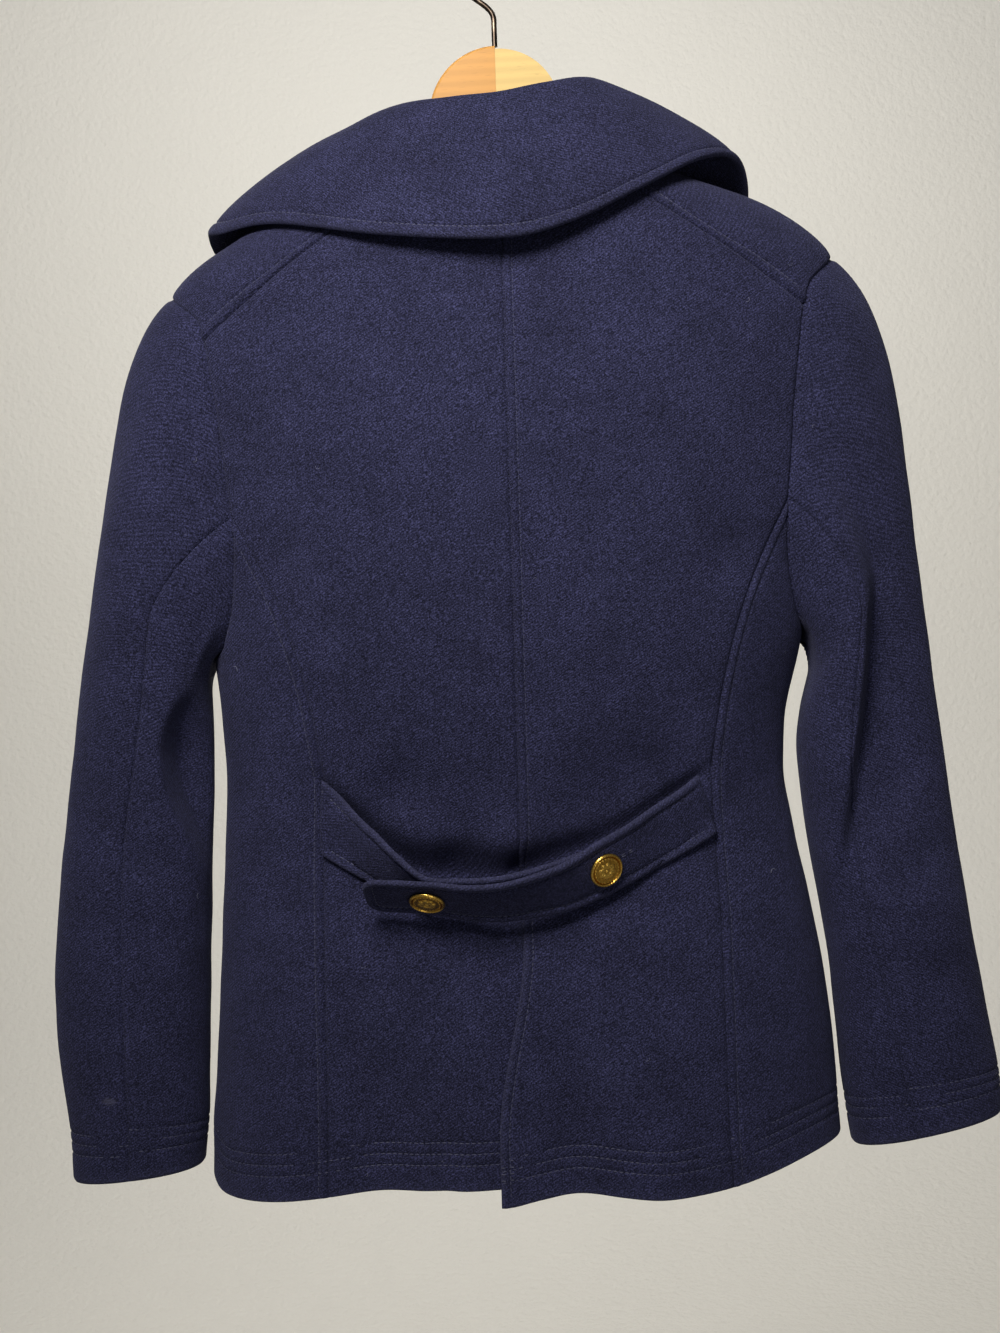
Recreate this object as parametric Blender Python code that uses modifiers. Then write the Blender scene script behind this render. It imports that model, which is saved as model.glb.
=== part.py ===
"""Women's pea coat on a wooden hanger, seen from its back.

Frame: metres, +Z up. The origin is the point inside the hook where it hangs on a rail or a nail.
The coat's back faces -Y, its front +Y, and the wearer's right side is at +X.
Every table and size below is in millimetres and degrees; MM turns them to metres at the end.

The cloth is cut in panels. Each panel is an outline on a smooth surface (the body, a sleeve, the
collar), filled with a lattice, and given its thickness along that surface's own normals, so that
two panels that share a seam stay a fixed gap apart.
"""
import math

import bpy
import numpy as np
from mathutils.geometry import delaunay_2d_cdt

MM = 0.001
CLOTH = 2.4            # heavy wool melton
COLLAR_CLOTH = 4.0     # two layers of melton with interlining
BELT_CLOTH = 3.6       # two layers, turned out and pressed
SEAM_GAP = 0.36        # between two panels at a seam
HEM_Z = -826.0         # of a level hem; HEM has its dips
VENT_TOP_Z = -652.0
LEAN = 0.03            # rise of the wearer's right shoulder, per millimetre to the side
OVERLAP = 76.0         # how far each front passes the centre line
BREAK_Z = -343.0       # where the lapels start to turn back
BUTTON_RADIUS = 11.4
BELT_WIDTH = 40.0
BELT_CLEAR = 3.0         # from the back to the middle of the belt where it lies flat
WIRE_RADIUS = 1.9
HANGER_THICK = 12.0


def columns(names, *rows):
    """A table as {name: array}, one array for each named column."""
    return {name: np.array(column, float) for name, column in zip(names.split(), zip(*rows))}


# Body sections. left and right are half widths; back, front and side are depths (y) at the centre
# back, the centre front and the two side folds. square is the exponent of the rounded section.
BODY = columns(
    "z      left right back  front side square",
    (-850, 212, 210, -86, 78, 6, 2.5),
    (-793, 210, 208, -84, 77, 6, 2.5),
    (-740, 206, 205, -80, 76, 5, 2.5),
    (-685, 202, 199, -74, 75, 4, 2.5),
    (-640, 199, 191, -67, 73, 3, 2.5),
    (-605, 197, 184, -62, 71, 2, 2.5),
    (-565, 194, 178, -62, 70, 1, 2.5),
    (-530, 195, 179, -68, 71, 0, 2.5),
    (-478, 199, 191, -77, 74, 0, 2.5),
    (-420, 205, 200, -81, 76, 0, 2.5),
    (-360, 211, 209, -82, 75, 0, 2.5),
    (-300, 219, 218, -79, 70, 0, 2.45),
    (-262, 224, 223, -74, 65, 0, 2.4),
    (-240, 224, 223, -71, 62, 0, 2.3),
    (-228, 220, 220, -69, 61, 0, 2.25),
    (-212, 204, 206, -66, 59, 0, 2.2),
    (-200, 186, 190, -63, 57, 0, 2.2),
    (-187, 162, 166, -60, 55, 0, 2.2),
    (-175, 134, 136, -56, 52, 0, 2.2),
    (-163, 102, 102, -52, 49, 0, 2.2),
    (-152, 76, 76, -47, 46, 0, 2.2),
    (-146, 70, 70, -44, 44, 0, 2.2),
)

# Largest folds of the back, each a soft trough or ridge between two points. depth is toward the
# front of the coat, so a negative one is a ridge.
BACK_FOLDS = columns(
    "x0   z0    x1   z1    width depth",
    (-92, -700, -92, -850, 34, 7),
    (-47, -700, -47, -850, 22, -3),
    (-165, -700, -163, -850, 30, -5),
    (30, -690, 28, -850, 26, 5),
    (82, -700, 84, -850, 30, -5),
    (-95, -560, -30, -612, 30, 9),
    (100, -548, 25, -610, 30, 8),
    (-172, -300, -150, -430, 26, 5),
    (168, -300, 150, -430, 24, 4),
)

# Seams of the back, as half widths (x) at each height; both sides are cut alike.
PRINCESS = columns(
    "z     x",
    (-850, 130), (-790, 128), (-700, 128), (-640, 128), (-600, 127), (-560, 126), (-527, 130),
    (-500, 135), (-470, 143), (-444, 152), (-420, 163), (-404, 171), (-386, 181),
)
SHOULDER = columns(
    "z     x",
    (-266, 196), (-250, 175), (-232, 152), (-215, 129), (-197, 104), (-180, 82), (-165, 67), (-153, 58),
)
FRONT_SIDE = columns(
    "z     x",
    (-850, 146), (-700, 142), (-600, 140), (-540, 143), (-500, 150), (-470, 163), (-446, 181),
)
# The armhole, round from the underarm (-90) by the back (0) over the shoulder tip (90) to the
# front (180) and back to the underarm (270). face is -1 on the back and 1 on the front.
ARMHOLE = columns(
    "angle x   z     face",
    (-90, 199, -479, 0),
    (-75, 194, -474, -1),
    (-60, 189, -464, -1),
    (-45, 184, -448, -1),
    (-30, 181, -428, -1),
    (-15, 180, -406, -1),
    (0, 181, -386, -1),
    (15, 184, -356, -1),
    (30, 187, -326, -1),
    (45, 191, -296, -1),
    (60, 196, -266, -1),
    (75, 207, -244, -1),
    (90, 221, -229, 0),
    (105, 205, -243, 1),
    (120, 193, -264, 1),
    (135, 187, -290, 1),
    (150, 182, -318, 1),
    (165, 178, -347, 1),
    (180, 176, -376, 1),
    (195, 176, -403, 1),
    (210, 179, -427, 1),
    (225, 183, -447, 1),
    (240, 188, -463, 1),
    (255, 194, -474, 1),
    (270, 199, -479, 0),
)
SHOULDER_AT, PRINCESS_AT, FRONT_SIDE_AT = 60, 0, 225

# Height of the hem round the body, at the turns of body(). It dips most at the vent's upper corner.
HEM = columns(
    "turn  z",
    (-260, -822), (-180, -822), (-120, -818), (-90, -817), (-78, -820), (-66, -826), (-54, -827),
    (-44, -825), (-35, -823), (-25, -819), (-19, -822), (-12, -826), (-7, -824), (-5, -834), (1, -830),
    (8, -826), (16, -829), (22, -830), (29, -826), (36, -823), (44, -817), (52, -811), (60, -807),
    (75, -804), (90, -804), (120, -808), (150, -816), (180, -821), (260, -822),
)

# Sleeve sections below the sleeve head. mid is the distance of the centre from the coat's middle,
# rise how much higher the outer edge is than the centre, turn the place of the back seam.
SLEEVE_LEFT = columns(
    "z     mid  y    wide deep turn rise",
    (-816, 260, -4, 43.5, 36, 2, -4),
    (-780, 259, -5, 46, 36, 2, 0),
    (-745, 260, -7, 49, 37, 1, 0),
    (-700, 260, -8, 51, 38, 1, 0),
    (-650, 257, -10, 50.5, 39, 3, 0),
    (-600, 253, -11, 49, 40, 4, 0),
    (-550, 248, -12, 46.5, 42, 0, 2),
    (-505, 243, -12, 42, 45, -3, 20),
    (-452, 237, -10, 35, 47, -4, 50),
)
SLEEVE_RIGHT = columns(
    "z     mid  y    wide deep turn rise",
    (-803, 266, -2, 50, 35, -13, 10),
    (-775, 263, -3, 51.5, 36, -17, 7),
    (-745, 259, -4, 50.5, 37, -20, 4),
    (-700, 254, -5, 49, 38, -25, 0),
    (-650, 247, -6, 48.5, 39, -28, 0),
    (-600, 240, -7, 49, 40, -24, 0),
    (-550, 235, -8, 48, 42, -22, 2),
    (-505, 233, -8, 43.5, 45, -18, 20),
    (-452, 232, -8, 36, 47, -12, 50),
)
# Where each sleeve's back face is tucked in: edge is the fold's distance from the coat's middle,
# share how much of the depth is lost beyond it. The left tuck faces the body, the right one faces out.
TUCK_LEFT = columns(
    "z     edge share",
    (-630, 196, 0), (-609, 206, 0.3), (-585, 216, 0.62), (-560, 224, 0.7), (-533, 226, 0.62),
    (-512, 220, 0.36), (-494, 208, 0.1), (-478, 196, 0),
)
TUCK_RIGHT = columns(
    "z     edge share",
    (-650, 205, 0), (-602, 213, 0.3), (-557, 220, 0.46), (-518, 226, 0.5), (-453, 232, 0.48),
    (-388, 239, 0.4), (-340, 246, 0.2), (-310, 252, 0),
)
TUCK_SOFT = 13.0

# Collar sections round the neck: angle 0 is the centre back, -180 the wearer's left front end.
# seam is the turn on the body's neckline, f* the top of the fold, e* the outer edge, puff how far
# the fall stands out above its edge.
COLLAR = columns(
    "angle seam fx   fy   fz    ex    ey   ez    puff",
    (-180, -134, -56, 44, -154, -142, 74, -240, 5),
    (-140, -114, -68, 25, -137, -186, 50, -208, 9),
    (-105, -92, -73, 0, -123, -197, 15, -188, 15),
    (-75, -72, -69, -20, -119, -184, -16, -191, 15),
    (-50, -50, -55, -37, -119, -146, -44, -193, 10),
    (-25, -25, -30, -50, -121, -74, -74, -211, 5),
    (0, 0, 0, -54, -121, 0, -86, -220, 5),
    (25, 25, 30, -50, -116, 44, -79, -211, 5),
    (50, 50, 55, -37, -110, 92, -63, -188, 6),
    (75, 72, 69, -20, -110, 131, -38, -167, 8),
    (105, 92, 73, 0, -116, 160, -4, -162, 10),
    (140, 114, 68, 25, -132, 170, 42, -190, 8),
    (180, 134, 56, 44, -152, 140, 74, -236, 5),
)

# Half-belt sections from the seam inwards: lift is the distance off the back, tilt how far the
# top edge leans out.
BELT_RIGHT = columns(
    "x     z     lift tilt",
    (-99, -629, 26, 56), (-78, -630, 27, 56), (-55, -632, 29, 55), (-32, -635, 30, 52),
    (-12, -635, 30, 48), (8, -632, 28, 42), (30, -627, 25.3, 33), (52, -617.5, 21.6, 22),
    (70, -609, 16.9, 20), (90, -598.5, 11, 13), (110, -588, 6.5, 8), (124.5, -579, 3.2, 2),
)
BELT_LEFT = columns(
    "x     z     lift tilt",
    (62, -618, 8.6, 23), (48, -621, 13.8, 27), (30, -625, 20.9, 33), (8, -628.5, 25.8, 42),
    (-15, -631, 29, 49), (-40, -631, 27.6, 53), (-60, -629, 24.8, 53), (-78, -619, 20, 40),
    (-95, -607, 14, 24), (-112, -595, 7, 12), (-125.5, -584, 3.2, 2),
)
BELT_BUTTONS = (52.0, -59.0)

# Right lapel, seen on the front: corners as (x, z). The left one is its mirror image.
LAPEL = {"break": (-70, BREAK_Z), "neck": (60, -176), "notch": (96, -222), "tip": (160, -264)}
FRONT_BUTTON_X = 52.0
FRONT_BUTTON_ROWS = (-365.0, -470.0, -575.0)

HOOK_SHANK_TOP, HOOK_LOOP_RADIUS = -52.0, 23.0
HANGER_TOP = -74.0


def smooth(x, xs, ys):
    """Cubic curve through the points (xs, ys), at x. The ends carry on level."""
    order = np.argsort(xs)
    xs, ys = xs[order], ys[order]
    slopes = np.gradient(ys, xs)
    x = np.clip(x, xs[0], xs[-1])
    i = np.clip(np.searchsorted(xs, x) - 1, 0, len(xs) - 2)
    span = xs[i + 1] - xs[i]
    t = (x - xs[i]) / span
    rise = ys[i] * (1 + 2 * t) * (1 - t) ** 2 + ys[i + 1] * t * t * (3 - 2 * t)
    return rise + span * t * (1 - t) * (slopes[i] * (1 - t) - slopes[i + 1] * t)


def ease(t):
    t = np.clip(t, 0, 1)
    return t * t * (3 - 2 * t)


def unit(vectors):
    return vectors / np.maximum(np.linalg.norm(vectors, axis=-1, keepdims=True), 1e-9)


def lean(points):
    """The coat hangs a little out of level: the shoulders tilt, the skirt doesn't."""
    share = ease((points[..., 2] + 430) / 180)
    points[..., 2] += LEAN * points[..., 0] * share
    return points


def fold_depth(x, z, folds):
    """How far the named folds push the cloth in at (x, z)."""
    total = np.zeros_like(x)
    for x0, z0, x1, z1, width, depth in zip(*folds.values()):
        along = np.array([x1 - x0, z1 - z0])
        length = np.hypot(*along)
        t = ((x - x0) * along[0] + (z - z0) * along[1]) / length**2
        away = np.abs((x - x0) * along[1] - (z - z0) * along[0]) / length
        ends = ease((t + 0.15) / 0.4) * ease((1.25 - t) / 0.4) if z1 > -840 else ease(t / 0.7)
        total += depth * ends * np.exp(-((away / width) ** 2))
    return total


def body(turn, z):
    """Outer face of the body cloth. turn is 0 at the centre back, 90 at the right side, 180 at the
    centre front and -90 at the left side."""
    turn, z = np.broadcast_arrays(np.asarray(turn, float), np.asarray(z, float))
    at = {name: smooth(z, BODY["z"], BODY[name]) for name in BODY if name != "z"}
    sine, cosine = np.sin(np.radians(turn)), np.cos(np.radians(turn))
    power = at["square"]
    stretch = (np.abs(sine) ** power + np.abs(cosine) ** power) ** (-1 / power)
    x = np.where(sine < 0, at["left"], at["right"]) * sine * stretch
    deep = np.where(cosine > 0, at["side"] - at["back"], at["front"] - at["side"])
    y = at["side"] - deep * cosine * stretch
    y = y + fold_depth(x, z, BACK_FOLDS) * np.clip(cosine, 0, 1) ** 0.5
    return lean(np.stack([x, y, z], -1))


def turn_at(x, z, face):
    """The turn at which the body, at height z, is x from the middle: on the back for face -1."""
    x, z = np.broadcast_arrays(np.asarray(x, float), np.asarray(z, float))
    half = np.where(x < 0, smooth(z, BODY["z"], BODY["left"]), smooth(z, BODY["z"], BODY["right"]))
    power = smooth(z, BODY["z"], BODY["square"])
    share = np.clip(np.abs(x) / half, 0, 1 - 1e-9) ** power
    turn = np.degrees(np.arctan((share / (1 - share)) ** (1 / power)))
    turn = np.where(np.asarray(face) > 0, 180 - turn, turn)
    return np.where(x < 0, -turn, turn)


def normals(surface, a, b, da=0.05, db=0.05):
    """Unit normals of a surface of two parameters, by differences."""
    along_a = surface(a + da, b) - surface(a - da, b)
    along_b = surface(a, b + db) - surface(a, b - db)
    return unit(np.cross(along_a, along_b))


def armhole(side, angle):
    """(turn, z) of the armhole at an angle round it. side is -1 for the left."""
    face = np.where(ARMHOLE["face"] == 0, 1, ARMHOLE["face"])
    turns = np.abs(turn_at(side * ARMHOLE["x"], ARMHOLE["z"], face))
    turns[ARMHOLE["face"] == 0] = 90
    angle = (np.asarray(angle, float) + 90) % 360 - 90
    return side * smooth(angle, ARMHOLE["angle"], turns), smooth(angle, ARMHOLE["angle"], ARMHOLE["z"])


def armhole_normal(side, angle):
    turn, z = armhole(side, angle)
    return normals(body, turn, z)


def sleeve_ring(side, angle, down):
    """A point below the sleeve head. down is the height of the ring's centre."""
    rows, tuck = (SLEEVE_LEFT, TUCK_LEFT) if side < 0 else (SLEEVE_RIGHT, TUCK_RIGHT)
    at = {name: smooth(down, rows["z"], rows[name]) for name in rows if name != "z"}
    seat = np.radians(angle + at["turn"])
    sine, cosine = np.sin(seat), np.cos(seat)
    stretch = (np.abs(sine) ** 2.3 + np.abs(cosine) ** 2.3) ** (-1 / 2.3)
    out = at["wide"] * sine * stretch
    z = down + at["rise"] * out / at["wide"]
    distance = at["mid"] + out
    edge, share = smooth(z, tuck["z"], tuck["edge"]), smooth(z, tuck["z"], tuck["share"])
    beyond = (edge - distance) if side < 0 else (distance - edge)
    lost = np.clip(share, 0, 1) * ease(beyond / (2 * TUCK_SOFT) + 0.5) * (cosine > 0)
    y = at["y"] - at["deep"] * cosine * stretch * (1 - lost)
    return np.stack([side * distance, y, z], -1)


HEAD_SHARE = 0.36


def sleeve(side):
    """The surface of one sleeve: angle is 0 on the back seam and 90 outwards; along is 0 at the
    armhole and 100 at the cuff."""
    rows = SLEEVE_LEFT if side < 0 else SLEEVE_RIGHT
    top, cuff = rows["z"].max(), rows["z"].min()

    def surface(angle, along):
        angle, along = np.broadcast_arrays(np.asarray(angle, float), np.asarray(along, float) / 100)
        ring = top + (cuff - top) * np.clip((along - HEAD_SHARE) / (1 - HEAD_SHARE), 0, 1)
        low = sleeve_ring(side, angle, ring)
        turn, z = armhole(side, angle)
        start = body(turn, z)
        start[..., 2] -= LEAN * start[..., 0] * ease((start[..., 2] + 430) / 180)
        end = sleeve_ring(side, angle, np.full_like(angle, top))
        span = np.linalg.norm(end - start, axis=-1, keepdims=True)
        back = np.cos(np.radians(angle))[..., None]
        leave = unit(np.concatenate([np.full_like(back, side * 0.78), -0.22 * back, np.full_like(back, -0.62)], -1))
        t = np.clip(along / HEAD_SHARE, 0, 1)[..., None]
        below = sleeve_ring(side, angle, np.full_like(angle, top - 8)) - end
        arrive = unit(below)
        head = (start * (1 + 2 * t) * (1 - t) ** 2 + end * t * t * (3 - 2 * t)
                + 0.85 * span * t * (1 - t) * (leave * (1 - t) - arrive * t))
        return lean(np.where(along[..., None] < HEAD_SHARE, head, low))

    return surface


def outline_of(*stretches):
    """Joins stretches of (a, b) points to one closed outline, dropping the doubled corners."""
    points = []
    for stretch in stretches:
        for point in stretch:
            if not points or np.hypot(point[0] - points[-1][0], point[1] - points[-1][1]) > 1e-6:
                points.append((float(point[0]), float(point[1])))
    if np.hypot(points[0][0] - points[-1][0], points[0][1] - points[-1][1]) < 1e-6:
        points.pop()
    return points


def stations(start, end, step):
    """Values from start to end, both included, no further apart than step."""
    count = max(1, math.ceil(abs(end - start) / step - 1e-6))
    return np.linspace(start, end, count + 1)


def new_object(name, mesh_or_curve, material, collection):
    made = bpy.data.objects.new(name, mesh_or_curve)
    collection.objects.link(made)
    made.data.materials.append(material)
    return made


def panel(name, surface, outline, scale, step, thick, material, collection, out=None, gap=SEAM_GAP / 2,
          face_normals=None, centred=False):
    """Cuts outline out of surface as a wall of cloth. scale turns (a, b) to about millimetres, step is
    the lattice's spacing, out raises the cloth off the surface."""
    edge = np.array(outline)
    flat_edge = edge * scale
    low, high = flat_edge.min(0), flat_edge.max(0)
    grid = np.stack(np.meshgrid(*[np.arange(low[k] + step[k] / 2, high[k], step[k]) for k in (0, 1)]), -1)
    inner = [p for p in grid.reshape(-1, 2) if inside(p, flat_edge, 0.42 * min(step))]
    coordinates = [tuple(p) for p in flat_edge] + [tuple(p) for p in inner]
    border = list(range(len(edge)))
    points, _, faces, origin, _, _ = delaunay_2d_cdt(coordinates, [], [border], 1, 1e-4)
    flat = np.array([tuple(p) for p in points]) / scale
    a, b = flat[:, 0], flat[:, 1]
    place = surface(a, b)
    normal = (face_normals or (lambda p, q: normals(surface, p, q)))(a, b)
    middle = np.median(place, axis=0)
    if np.sum((place - middle) * normal) < 0 and not centred:
        normal = -normal
    at_border = {}
    for index, sources in enumerate(origin):
        for source in sources:
            if source < len(edge):
                at_border[source] = index
    ring = [at_border[k] for k in border]
    place = place + (out(a, b)[:, None] * normal if out else 0)
    place = inset(place, normal, ring, gap)
    outer = place + (normal * thick / 2 if centred else 0)
    inward = outer - normal * thick
    count = len(place)
    triangles = [tuple(f) for f in faces]
    walls = [(ring[k], ring[(k + 1) % len(ring)]) for k in range(len(ring))]
    mesh = bpy.data.meshes.new(name)
    mesh.from_pydata(
        [tuple(p * MM) for p in np.concatenate([outer, inward])],
        [],
        triangles + [tuple(v + count for v in reversed(f)) for f in triangles]
        + [(p, p + count, q + count, q) for p, q in walls],
    )
    close_out(mesh)
    return new_object(name, mesh, material, collection)


def close_out(mesh):
    """Turns the faces of a closed mesh outwards and shades it smooth between its edges."""
    import bmesh
    work = bmesh.new()
    work.from_mesh(mesh)
    bmesh.ops.recalc_face_normals(work, faces=work.faces)
    work.to_mesh(mesh)
    work.free()
    mesh.shade_smooth()
    mesh.set_sharp_from_angle(angle=math.radians(40))


def inside(point, edge, clear):
    """Whether a flat point is inside the outline, and at least clear from its edge."""
    following = np.roll(edge, -1, axis=0)
    across = (edge[:, 1] > point[1]) != (following[:, 1] > point[1])
    rise = following[:, 1] - edge[:, 1]
    rise = np.where(rise == 0, 1e-9, rise)
    cut = (following[:, 0] - edge[:, 0]) * (point[1] - edge[:, 1]) / rise + edge[:, 0]
    if np.count_nonzero(across & (point[0] < cut)) % 2 == 0:
        return False
    side = following - edge
    t = np.clip(np.sum((point - edge) * side, 1) / np.maximum(np.sum(side * side, 1), 1e-12), 0, 1)
    return np.min(np.linalg.norm(edge + t[:, None] * side - point, axis=1)) > clear


def inset(place, normal, ring, gap):
    """Draws the border in by gap, within the surface, so that neighbours at a seam don't touch."""
    ring = np.array(ring)
    corner, before, after = place[ring], place[np.roll(ring, 1)], place[np.roll(ring, -1)]
    face = normal[ring]
    first, second = unit(corner - before), unit(after - corner)
    sides = [unit(np.cross(face, line)) for line in (first, second)]
    centre = np.mean(corner, axis=0)
    area = np.sum(np.cross(corner - centre, after - centre) * face)
    sign = 1 if area > 0 else -1
    both = sides[0] + sides[1]
    share = np.maximum(np.sum(both * both, 1, keepdims=True) / 2, 0.35)
    moved = place.copy()
    moved[ring] = corner + sign * gap * both / share
    return moved


def at_x(curve, side, face, z_values):
    """A seam as (turn, z) points, from its half widths."""
    z_values = np.asarray(z_values, float)
    x = side * smooth(z_values, curve["z"], curve["x"])
    return list(zip(turn_at(x, z_values, face), z_values))


def hemmed(outline):
    """Lets the hem of a body panel down or up to HEM. The change fades out up the skirt."""
    turn, z = np.array(outline).T
    change = smooth(turn, HEM["turn"], HEM["z"]) - HEM_Z
    return list(zip(turn, z + change * np.clip((-700 - z) / (-700 - HEM_Z), 0, 1)))


def armhole_stations(start, end):
    """Angles round the armhole, closest over the shoulder tip."""
    between = [a for a in ARM_ANGLES if start + 0.1 < a < end - 0.1]
    return np.array([start, *between, end], float)


def along_armhole(side, start, end):
    turn, z = armhole(side, armhole_stations(start, end))
    return list(zip(turn, z))


def neckline_z(turn):
    """Height of the neck seam at a turn on the body, lower towards the front."""
    return -152.5 - 16 * ease((np.abs(turn) - 95) / 45)


def front_line(points, side, step=24.0):
    """Straight runs between corners (x, z) on the front, as (turn, z). Past the centre line the turn
    runs on beyond 180."""
    made = []
    for (x0, z0), (x1, z1) in zip(points[:-1], points[1:]):
        for t in stations(0, 1, step / math.hypot(x1 - x0, z1 - z0)):
            x, z = x0 + (x1 - x0) * t, z0 + (z1 - z0) * t
            turn = float(turn_at(side * x, z, 1))
            if turn * side < 0:
                turn += side * 360
            made.append((turn, z))
    return made


BODY_SCALE = np.array([2.6, 1.0])
BODY_STEP = np.array([30.0, 32.0])
EDGE_STEP = 30.0
ARM_ANGLES = (15, 30, 45, 60, 69, 76, 82, 86, 90, 94, 98, 104, 111, 120, *range(135, 360, 15))


def vent_share(z):
    """0 at the top of the vent, 1 once its two layers are fully apart."""
    return ease((VENT_TOP_Z - 2 - z) / 22)


def right_vent_out(turn, z):
    x = body(turn, z)[..., 0]
    return 3.6 * vent_share(z) * ease((48 - x) / 70)


def left_vent_out(turn, z):
    x = body(turn, z)[..., 0]
    return -3.4 * vent_share(z) * ease((x + 34) / 30)


def vent_x(side, z):
    """Where each back panel ends at the vent: the right one laps over, the left one under."""
    open_share = ease((VENT_TOP_Z - 12 - z) / 125)
    return -19 * open_share if side > 0 else 26 * ease((VENT_TOP_Z - 14 - z) / 22)


def back_panel(side, name, material, collection):
    hem = stations(0, 1, 1 / 9)
    vent_z = stations(HEM_Z, VENT_TOP_Z, 16.0)
    seam_z = stations(VENT_TOP_Z, -153.0, EDGE_STEP)
    low_x = vent_x(side, HEM_Z)
    edge_x = side * float(smooth(HEM_Z, PRINCESS["z"], PRINCESS["x"]))
    outline = outline_of(
        [(float(turn_at(x, HEM_Z, -1)), HEM_Z) for x in low_x + (edge_x - low_x) * hem],
        at_x(PRINCESS, side, -1, stations(HEM_Z, PRINCESS["z"].max(), EDGE_STEP)),
        along_armhole(side, PRINCESS_AT, SHOULDER_AT),
        at_x(SHOULDER, side, -1, stations(SHOULDER["z"].min(), SHOULDER["z"].max(), 18.0)),
        [(t, float(neckline_z(t))) for t in
         side * stations(abs(float(turn_at(side * 58.0, -153.0, -1))), 0, 12.0)],
        [(0, z) for z in seam_z[::-1]],
        [(float(turn_at(vent_x(side, z), z, -1)), z) for z in vent_z[::-1]],
    )
    out = right_vent_out if side > 0 else left_vent_out
    return panel(name, body, hemmed(outline), BODY_SCALE, BODY_STEP, CLOTH, material, collection, out=out)


def side_panel(side, name, material, collection):
    back_turn, front_turn = (float(at_x(curve, side, face, [HEM_Z])[0][0])
                             for curve, face in ((PRINCESS, -1), (FRONT_SIDE, 1)))
    outline = outline_of(
        [(t, HEM_Z) for t in stations(back_turn, front_turn, 9.0)],
        at_x(FRONT_SIDE, side, 1, stations(HEM_Z, FRONT_SIDE["z"].max(), EDGE_STEP)),
        along_armhole(side, FRONT_SIDE_AT, 360 + PRINCESS_AT),
        at_x(PRINCESS, side, -1, stations(HEM_Z, PRINCESS["z"].max(), EDGE_STEP)[::-1]),
    )
    return panel(name, body, hemmed(outline), BODY_SCALE, np.array([26.0, 36.0]), CLOTH, material, collection)


def over_out(turn, z):
    """The upper front rises over the lower one, its lapel and its own seam allowance."""
    x = body(turn, z)[..., 0]
    return 9.5 * ease((118 - x) / 60) * ease((turn - 95) / 30) * ease((neckline_z(turn) - 8 - z) / 32)


def front_panel(side, name, material, collection):
    over = side > 0
    edge_x = -(OVERLAP - 2)
    side_turn = float(at_x(FRONT_SIDE, side, 1, [HEM_Z])[0][0])
    edge_turn = front_line([(edge_x, HEM_Z), (edge_x, HEM_Z + 1)], side)[0][0]
    neck_turn = front_line([LAPEL["neck"], LAPEL["notch"]], side)[0][0]
    neck_z = LAPEL["neck"][1]
    outline = outline_of(
        [(t, HEM_Z) for t in stations(side_turn, edge_turn, 9.0)],
        front_line([(edge_x, HEM_Z), LAPEL["break"], LAPEL["neck"]], side),
        [(t, float(neckline_z(t)) if abs(t) < abs(neck_turn) - 8 else neck_z + 4)
         for t in side * stations(abs(neck_turn) - 6, abs(float(turn_at(side * 58.0, -153.0, -1))), 12.0)],
        at_x(SHOULDER, side, -1, stations(SHOULDER["z"].min(), SHOULDER["z"].max(), 18.0)[::-1]),
        along_armhole(side, SHOULDER_AT, FRONT_SIDE_AT),
        at_x(FRONT_SIDE, side, 1, stations(HEM_Z, FRONT_SIDE["z"].max(), EDGE_STEP)[::-1]),
    )
    return panel(name, body, hemmed(outline), BODY_SCALE, BODY_STEP, CLOTH, material, collection,
                 out=over_out if over else None)


def lapel(side, name, material, collection):
    over = side > 0
    corners = [LAPEL["break"], LAPEL["tip"], LAPEL["notch"], LAPEL["neck"]]
    if not over:
        corners[0] = (-8, -266 - 36)
    outline = outline_of(front_line(corners + corners[:1], side))
    raise_by = CLOTH + 2.2

    def out(turn, z):
        return raise_by + (over_out(turn, z) if over else 0 * turn)

    return panel(name, body, outline, BODY_SCALE, np.array([22.0, 22.0]), CLOTH, material, collection, out=out, gap=0.6)


def sleeve_panel(side, start, end, name, material, collection):
    """One of the two pieces of a sleeve, from its angle start to end."""
    surface = sleeve(side)

    def seam_normals(angle, along):
        """At the armhole the wall stands as the body's does, so that the two don't cross."""
        own = normals(surface, angle, np.clip(along, 0.1, 99.9), 0.05, 0.05)
        rows = SLEEVE_LEFT if side < 0 else SLEEVE_RIGHT
        axis = np.stack([side * np.full_like(angle, rows["mid"].mean()), np.full_like(angle, -8.0)], -1)
        away = np.sum((surface(angle, along)[:, :2] - axis) * own[:, :2], axis=1)
        own = np.where(np.sum(away) < 0, -own, own)
        shared = armhole_normal(side, angle)
        centre = body(*armhole(side, angle))
        shared = np.where(np.sum(shared * (centre - np.array([0, 0, -380.0])), 1)[:, None] < 0, -shared, shared)
        share = ease(along / 9)[:, None]
        return unit(shared * (1 - share) + own * share)

    around = armhole_stations(start, end)
    down = stations(0.25, 100, 5.0)
    outline = outline_of(
        [(a, down[0]) for a in around],
        [(end, d) for d in down],
        [(a, 100.0) for a in around[::-1]],
        [(start, d) for d in down[::-1]],
    )
    return panel(name, surface, outline, np.array([0.85, 6.0]), np.array([17.0, 24.0]), CLOTH, material,
                 collection, gap=0.3, face_normals=seam_normals)


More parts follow.
